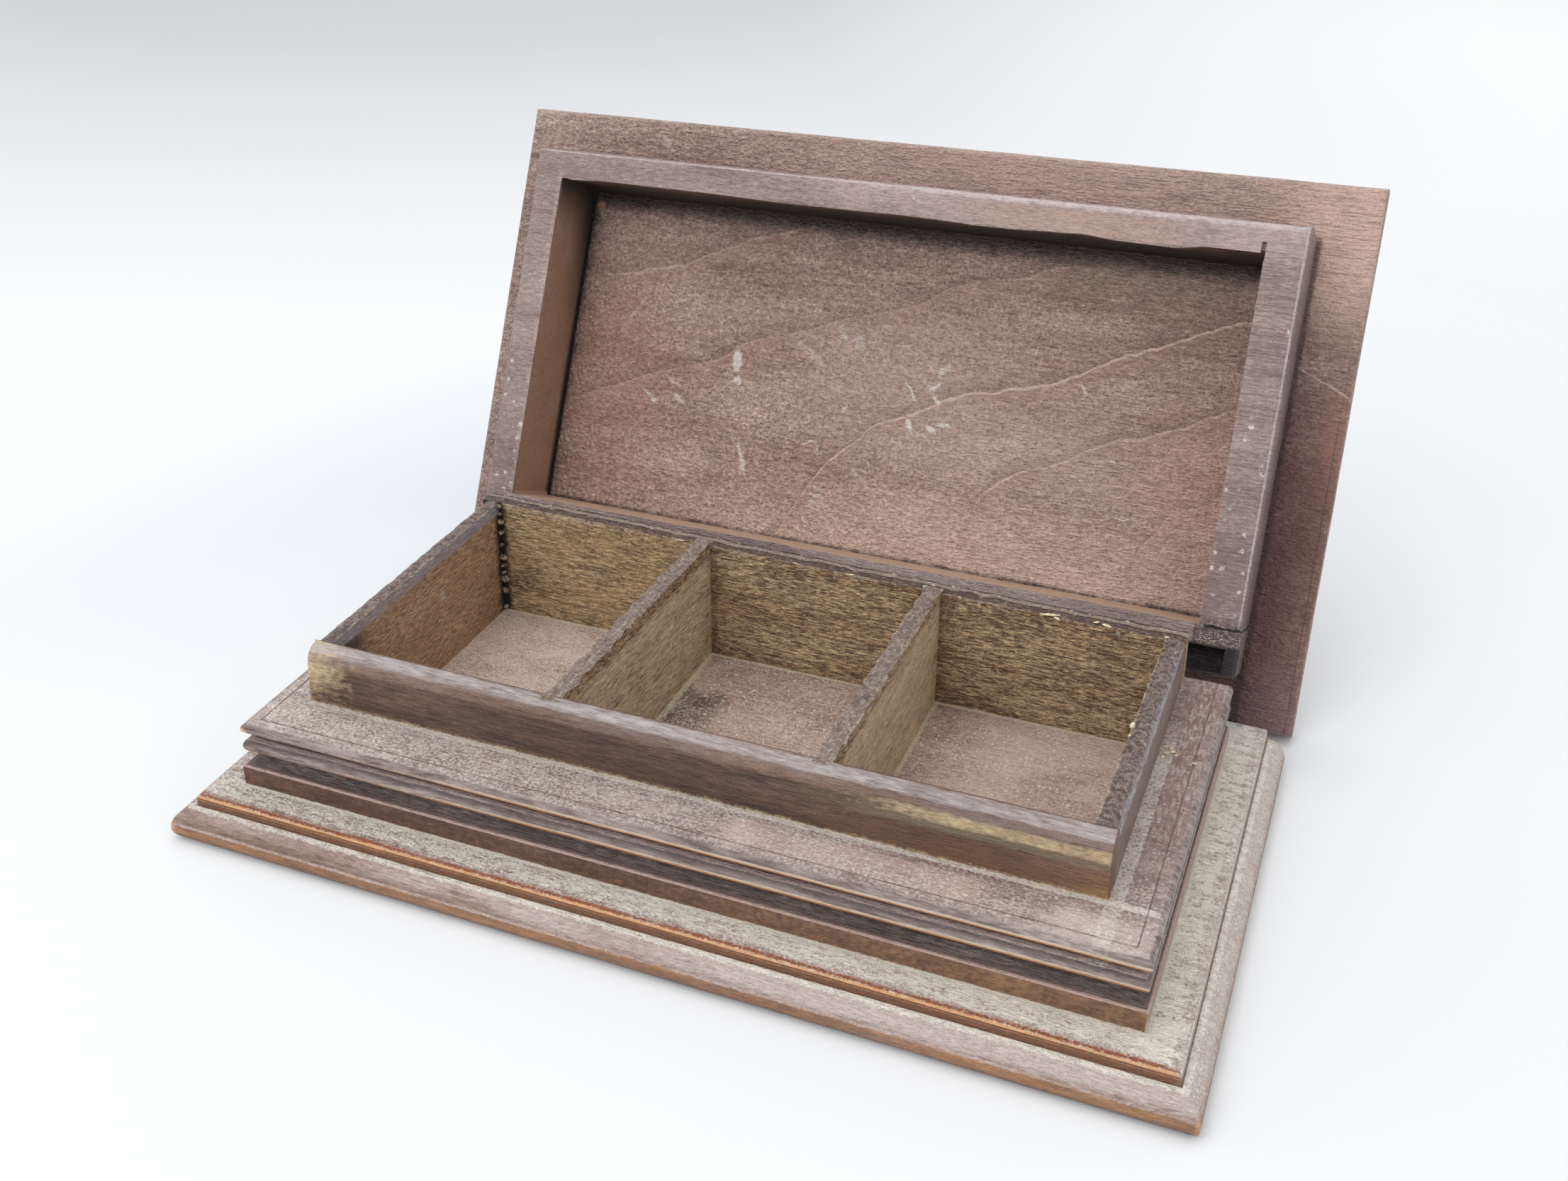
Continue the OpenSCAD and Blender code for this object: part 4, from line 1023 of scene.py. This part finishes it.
for strength, line in growth:
    level = add(tree, "FloatCurve", {"Value": span})
    curve = level.node.mapping.curves[0]
    places = [((x + half) / (2 * half), (y - far_down) / tall) for x, y in line]
    curve.points[0].location, curve.points[1].location = (0.0, places[0][1]), (1.0, places[-1][1])
    for at in places:
        curve.points.new(*at)
    level.node.mapping.update()
    off = add(tree, "Math", {0: level, 1: -tall, 2: -far_down}, operation="MULTIPLY_ADD")
    off = add(tree, "Math", {0: strayed, 1: off}, operation="ADD")
    here = band(tree, along, line[0][0], line[-1][0], 2.0)
    threads = widest(tree, cover(tree, band(tree, off, -0.16, 0.16, 0.22), here, strength), threads)
    shadows = widest(tree, cover(tree, (off, -3.5, 0.0), (off, 0.1, -0.1), here), shadows)
    glow = widest(tree, cover(tree, (off, 4.5, 0.2), (off, -0.1, 0.1), here), glow)
colour = coat(tree, colour, "#6f5a4e", shadows, recess, 0.3)
colour = coat(tree, colour, "#bf9888", glow, recess, 0.38)
threads = settle(tree, place, cover(tree, threads, recess, 0.9), 0.7, 4, 0.4, 0.5, 1.2)
colour = coat(tree, colour, "#e0c2b4", threads)
# scores and dents: middle along and down, length, width, turn in degrees, strength
scores = [(-31.0, 4.5, 4.4, 2.0, 77, 1.0), (-30.2, 8.6, 1.8, 1.5, 60, 0.8),
          (-48.7, 14.2, 5.6, 0.7, 31, 0.55), (-42.3, 14.0, 3.4, 1.0, 36, 0.5),
          (-9.9, -3.7, 4.2, 1.3, 60, 0.4), (-6.5, -2.6, 3.2, 2.4, 49, 0.35), (5.5, 5.4, 4.4, 0.7, 58, 0.9),
          (10.1, 4.0, 2.9, 0.8, -40, 0.85), (10.8, 6.6, 2.1, 0.9, 46, 1.0), (-7.3, 10.8, 2.0, 0.5, -66, 0.7),
          (6.2, 12.0, 2.6, 1.0, 59, 0.85), (10.4, 12.1, 2.3, 1.0, 35, 0.95),
          (13.0, 11.0, 1.9, 1.0, 20, 0.95), (11.2, 0.8, 3.8, 1.3, -57, 0.5),
          (28.2, -5.7, 2.0, 0.4, -84, 0.5), (33.6, -5.8, 1.6, 0.4, -54, 0.45),
          (38.1, 0.3, 2.6, 0.8, 60, 0.5), (-27.0, 23.5, 6.7, 0.8, 69, 0.75),
          (-26.6, 25.8, 2.2, 1.2, 75, 0.4), (-13.4, 18.3, 2.8, 0.6, -21, 0.6),
          (-11.6, 18.9, 2.2, 0.5, 56, 0.55), (-10.1, 27.2, 4.0, 0.45, 14, 0.55),
          (-10.3, 28.6, 4.4, 0.4, 12, 0.5), (-10.6, 30.0, 3.2, 0.4, 9, 0.45),
          (-0.9, 20.5, 2.2, 0.5, 53, 0.5), (-3.1, 22.8, 1.4, 0.9, 4, 0.5), (-25.6, 15.8, 1.8, 0.4, -67, 0.5),
          (50.0, 22.9, 5.6, 0.4, -3, 0.6), (45.3, 12.8, 1.5, 0.35, 22, 0.7),
          (-53.7, -37.4, 6.5, 0.8, 50, 0.3), (-16.0, 1.0, 9.0, 1.6, 32, 0.28),
          (-44.0, 10.5, 5.0, 0.6, 28, 0.35)]
shake = 1.7    # as for the flakes
warp = cloudy(tree, place, 1.3).node.outputs["Color"]
warp = add(tree, "VectorMath", {0: warp, 1: (shake, shake, 0.0), 2: place}, operation="MULTIPLY_ADD")
scored = 0.0
for x, y, long, wide, turn, much in scores:
    score = spot(tree, warp, (x + shake / 2, y + shake / 2, frame_z1), (long / 2, wide / 2, 30), turn)
    scored = widest(tree, (score, 1.25, 0.6, 0.0, much), scored)
# small scratches lying every way, thickest in the middle of the panel
flat_place = add(tree, "VectorMath", {0: place, 1: (1, 1, 0)}, operation="MULTIPLY")
struck = 0.0
for pitch, thin, share in ((3.0, 6.0, 0.75), (4.6, 8.0, 0.7), (7.5, 9.0, 0.6)):
    cell = add(tree, "TexVoronoi", {"Vector": flat_place, "Scale": 1 / pitch}, out="Position")
    chance = add(tree, "SeparateColor", {"Color": cell.node.outputs["Color"]})
    middle = add(tree, "VectorMath", {0: cell, "Scale": pitch}, operation="SCALE")
    local = add(tree, "VectorMath", {0: flat_place, 1: middle}, operation="SUBTRACT")
    turn = cover(tree, chance, 2 * math.pi)
    local = add(tree, "VectorRotate", {"Vector": local, "Angle": turn}, rotation_type="Z_AXIS")
    local = add(tree, "VectorMath", {0: local, 1: (3.4 / pitch, thin * 0.55, 0)}, operation="MULTIPLY")
    away = add(tree, "VectorMath", {0: local}, operation="LENGTH", out="Value")
    scratch = cover(tree, (away, 1.3, 0.5))
    crowd = cover(tree, (spot(tree, place, (-6, 7, frame_z1), (62, 30, 60)), 1.0, 0.1, 0.0, share))
    lucky = add(tree, "Math", {0: chance.node.outputs[1], 1: crowd}, operation="LESS_THAN")
    struck = widest(tree, cover(tree, scratch, lucky, 0.62), struck)
scored = cover(tree, scored, (mottle, 0.05, 0.6, 0.5, 1.2))
marks = widest(tree, cover(tree, scored, inner_face),
               cover(tree, struck, recess, (mottle, 0.2, 0.7, 0.2, 1.0)))
colour = coat(tree, colour, "#efe6dc", marks)
height = build_up(tree, height, (marks, -0.8))
# painted shade round the edges of the recess, deepest under the front rail and in the crevice at the left,
# and a knot of bare wood
painted_side_shade = cover(tree, (along, opening[0] + 6.0, opening[0], 0.0, 0.8), (down, 30.0, -15.0, 0.55, 1.1))
colour = coat(tree, colour, "#352c2a", painted_side_shade, painted_side_shade, recess)
painted_edge_shade = widest(tree, (along, opening[0] + 3.0, opening[0], 0.0, 0.7),
               (down, opening[2] + 5.0, opening[2] + 0.5, 0.0, 0.75),
               (down, opening[3] - 1.2, opening[3] - 0.3, 0.0, 0.6))
under_rail = cover(tree, (down, opening[2] + 3.6, opening[2] + 0.6, 0.0, 0.8), recess)
colour = coat(tree, colour, "#352b28", under_rail)
painted_edge_shade = settle(tree, place, cover(tree, painted_edge_shade, recess), 1.0, 6, 0.5, 0.6, 1.4)
colour = coat(tree, colour, "#40342f", painted_edge_shade)
crevice = cover(tree, band(tree, along, opening[0] - 1, opening[0] + 0.5, 0.4), recess)
colour = coat(tree, colour, "#171312", crevice)
knot = cover(tree, (spot(tree, place, (-66.4, -23.3, frame_z1), (1.1, 0.9, 3)), 1.1, 0.7, 0.0, 0.9))
colour = coat(tree, colour, "#c08d6d", knot)
# the margin: bright at the top right, dark red-brown down the right side, partly stain and partly
# the frame's shadow painted beside it; each as a colour, the middle along and down, the width and depth, and
# the strength
margin = add(tree, "Math", {0: inner_face, 1: recess}, operation="SUBTRACT")
tones = (("#dab7a8", 80, -34, 18, 24, 0.9), ("#c2a298", 20, -38, 80, 10, 0.6),
         ("#805a50", 84, 22, 16, 44, 0.8), ("#6e4b46", 75, 36, 9, 60, 0.85),
         ("#8a6c67", 84, 54, 22, 14, 0.7), ("#b08070", 84, 2, 6, 16, 0.4))
for code, x, y, wide, deep, much in tones:
    much = cover(tree, (spot(tree, place, (x, y, frame_z1), (wide, deep, 60)), 1.1, 0.3, 0.0, much))
    colour = coat(tree, colour, code, settle(tree, place, cover(tree, much, margin), 0.9, 7, 0.4, 0.5, 2.2))
streaky = cover(tree, (cloudy(tree, place, (9.0, 0.5, 0.5), 3.0, 0.6), 0.52, 0.62, 0.0, 0.35))
colour = coat(tree, colour, "#5c423d", streaky, margin)
# painted shade in the joint beside the frame, a worn line near the right edge, and a split running from the
# frame
rim = cover(tree, band(tree, along, 83.15, 83.25, 0.15), (down, -25.0, 10.0, 0.0, 0.5))
beside = cover(tree, band(tree, along, 73.9, 74.6, 0.9), (down, -32.6, -31.6), 0.75)
above = cover(tree, band(tree, down, -32.2, -31.7, 0.5), (along, 75.4, 74.4), 0.5)
colour = coat(tree, colour, "#46322e", widest(tree, rim, cover(tree, widest(tree, beside, above), margin)))
split_y = build_up(tree, down, (along, -0.48), (wander, 1.6))
split = cover(tree, band(tree, split_y, -44.9, -44.75, 0.14), (along, 74.5, 75.5), margin)
colour = coat(tree, colour, "#d8baae", split, 0.8)
edge = widest(tree, band(tree, down, -43.0, -41.2, 0.3),
              cover(tree, band(tree, along, 84.0, 85.5, 0.2), 0.6))
colour = coat(tree, colour, "#c9aea2", settle(tree, place, cover(tree, edge, 0.4), 0.7, 5, 1.2, 1.0, 0.8))
dress(board, "lid", "lid_wood", ["lid_top_board"], seal(wood, tree, colour, height, 0.46, 0.18))

# ---------------------------------------------------------------- Hinge
# A dull steel rod held in seven small wire eyes, three driven into the tray's back
# wall and four into the lid's back rail, where a groove hides it. Tarnished brown.
wire, tree, place = new_material("dull_drawn_steel_wire")
tarnish = add(tree, "TexNoise", {"Vector": place, "Scale": 1.5, "Detail": 4.0})
tarnish = cover(tree, (tarnish, 0.4, 0.65))
skin = tree.nodes["Principled BSDF"]
tree.links.new(coat(tree, to_linear("#8b8984"), "#5d4c40", tarnish), skin.inputs["Base Color"])
tree.links.new(cover(tree, (tarnish, 0.0, 1.0, 0.35, 0.7)), skin.inputs["Roughness"])
skin.inputs["Metallic"].default_value = 1.0
for name in ("hinge_rod", "fixed_hinge_eyes", "lid_hinge_eyes"):
    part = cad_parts[name]
    part.data.materials.clear()
    part.data.materials.append(wire)

# ---------------------------------------------------------------- Studio
# A plain pale table top, soft light from above and in front, and a camera that
# looks down on the open box from its front right.
choose()
bpy.ops.mesh.primitive_plane_add(size=6.0, location=(0, 1.0, 0))
table = bpy.context.object
table.name = "table_top"
# matt white paint: no gloss; painted shade makes it a little greyer far off at the left, painted light whiter
# far off at the right, and a bluish shadow is painted on it beside the box at the left
pale, tree, place = new_material("matt_white_table")
far = cover(tree, (spot(tree, place, (-480, -320, 0), (650, 560, 900)), 1.0, 0.35))
tone = coat(tree, to_linear("#edeff1"), "#d3d4d6", far)
painted_floor_shadow = cover(tree, (spot(tree, place, (-122, -920, 0), (52, 150, 900), -30.0), 1.2, 0.1, 0.0, 0.5))
tone = coat(tree, tone, "#d0dbe4", painted_floor_shadow)
painted_far_light = cover(tree, (spot(tree, place, (220, -230, 0), (420, 420, 900)), 1.1, 0.3))
tone = coat(tree, tone, "#fcfcfc", painted_far_light)
skin = tree.nodes["Principled BSDF"]
tree.links.new(tone, skin.inputs["Base Color"])
skin.inputs["Roughness"].default_value = 0.9
table.data.materials.append(pale)
table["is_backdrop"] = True

world = bpy.data.worlds.new("soft_room")
bpy.context.scene.world = world
world.use_nodes = True
sky = world.node_tree.nodes["Background"]
sky.inputs["Color"].default_value = (0.97, 0.985, 1.0, 1)
sky.inputs["Strength"].default_value = 0.85


def softbox(name, watts, wide, deep, at, aim):
    """A square soft light at a place in metres, turned to a point."""
    lamp = bpy.data.lights.new(name, "AREA")
    lamp.energy = watts
    lamp.shape = "RECTANGLE"
    lamp.size, lamp.size_y = wide, deep
    holder = bpy.data.objects.new(name, lamp)
    bpy.context.collection.objects.link(holder)
    holder.location = at
    holder.rotation_euler = (Vector(aim) - Vector(at)).to_track_quat("-Z", "Y").to_euler()
    holder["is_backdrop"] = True


softbox("overhead", 2.7, 1.0, 0.8, (-0.1, 0.1, 0.95), (0, 0.02, 0.03))
softbox("front_fill", 3.0, 0.8, 0.6, (-0.35, -0.85, 0.8), (0, 0.03, 0.04))

picture_wide, picture_high = 2212, 1666    # in pixels, as are the next two lines
focal = 2428.98
middle_x, middle_y = 978.25, 692.54    # the point straight ahead of the lens
camera = bpy.data.cameras.new("camera")
camera.sensor_width = 36.0
camera.lens = focal * camera.sensor_width / picture_wide
camera.shift_x = (picture_wide / 2 - middle_x) / picture_wide
camera.shift_y = (middle_y - picture_high / 2) / picture_wide
camera.clip_start = 0.01
eye = bpy.data.objects.new("camera", camera)
bpy.context.collection.objects.link(eye)
azimuth, elevation, roll = math.radians(24.197), math.radians(26.357), math.radians(-1.042)
ahead = Vector((-math.sin(azimuth) * math.cos(elevation), math.cos(azimuth) * math.cos(elevation),
                -math.sin(elevation)))
level_right = Vector((math.cos(azimuth), math.sin(azimuth), 0))
level_up = level_right.cross(ahead)
right = level_right * math.cos(roll) + level_up * math.sin(roll)
top = level_up * math.cos(roll) - level_right * math.sin(roll)
turned = Matrix((right, top, -ahead)).transposed().to_4x4()
eye.matrix_world = Matrix.Translation(Vector((92.44, -222.66, 179.32)) * mm) @ turned
bpy.context.scene.camera = eye
eye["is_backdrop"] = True
bpy.context.scene.view_settings.view_transform = "Standard"

low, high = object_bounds()
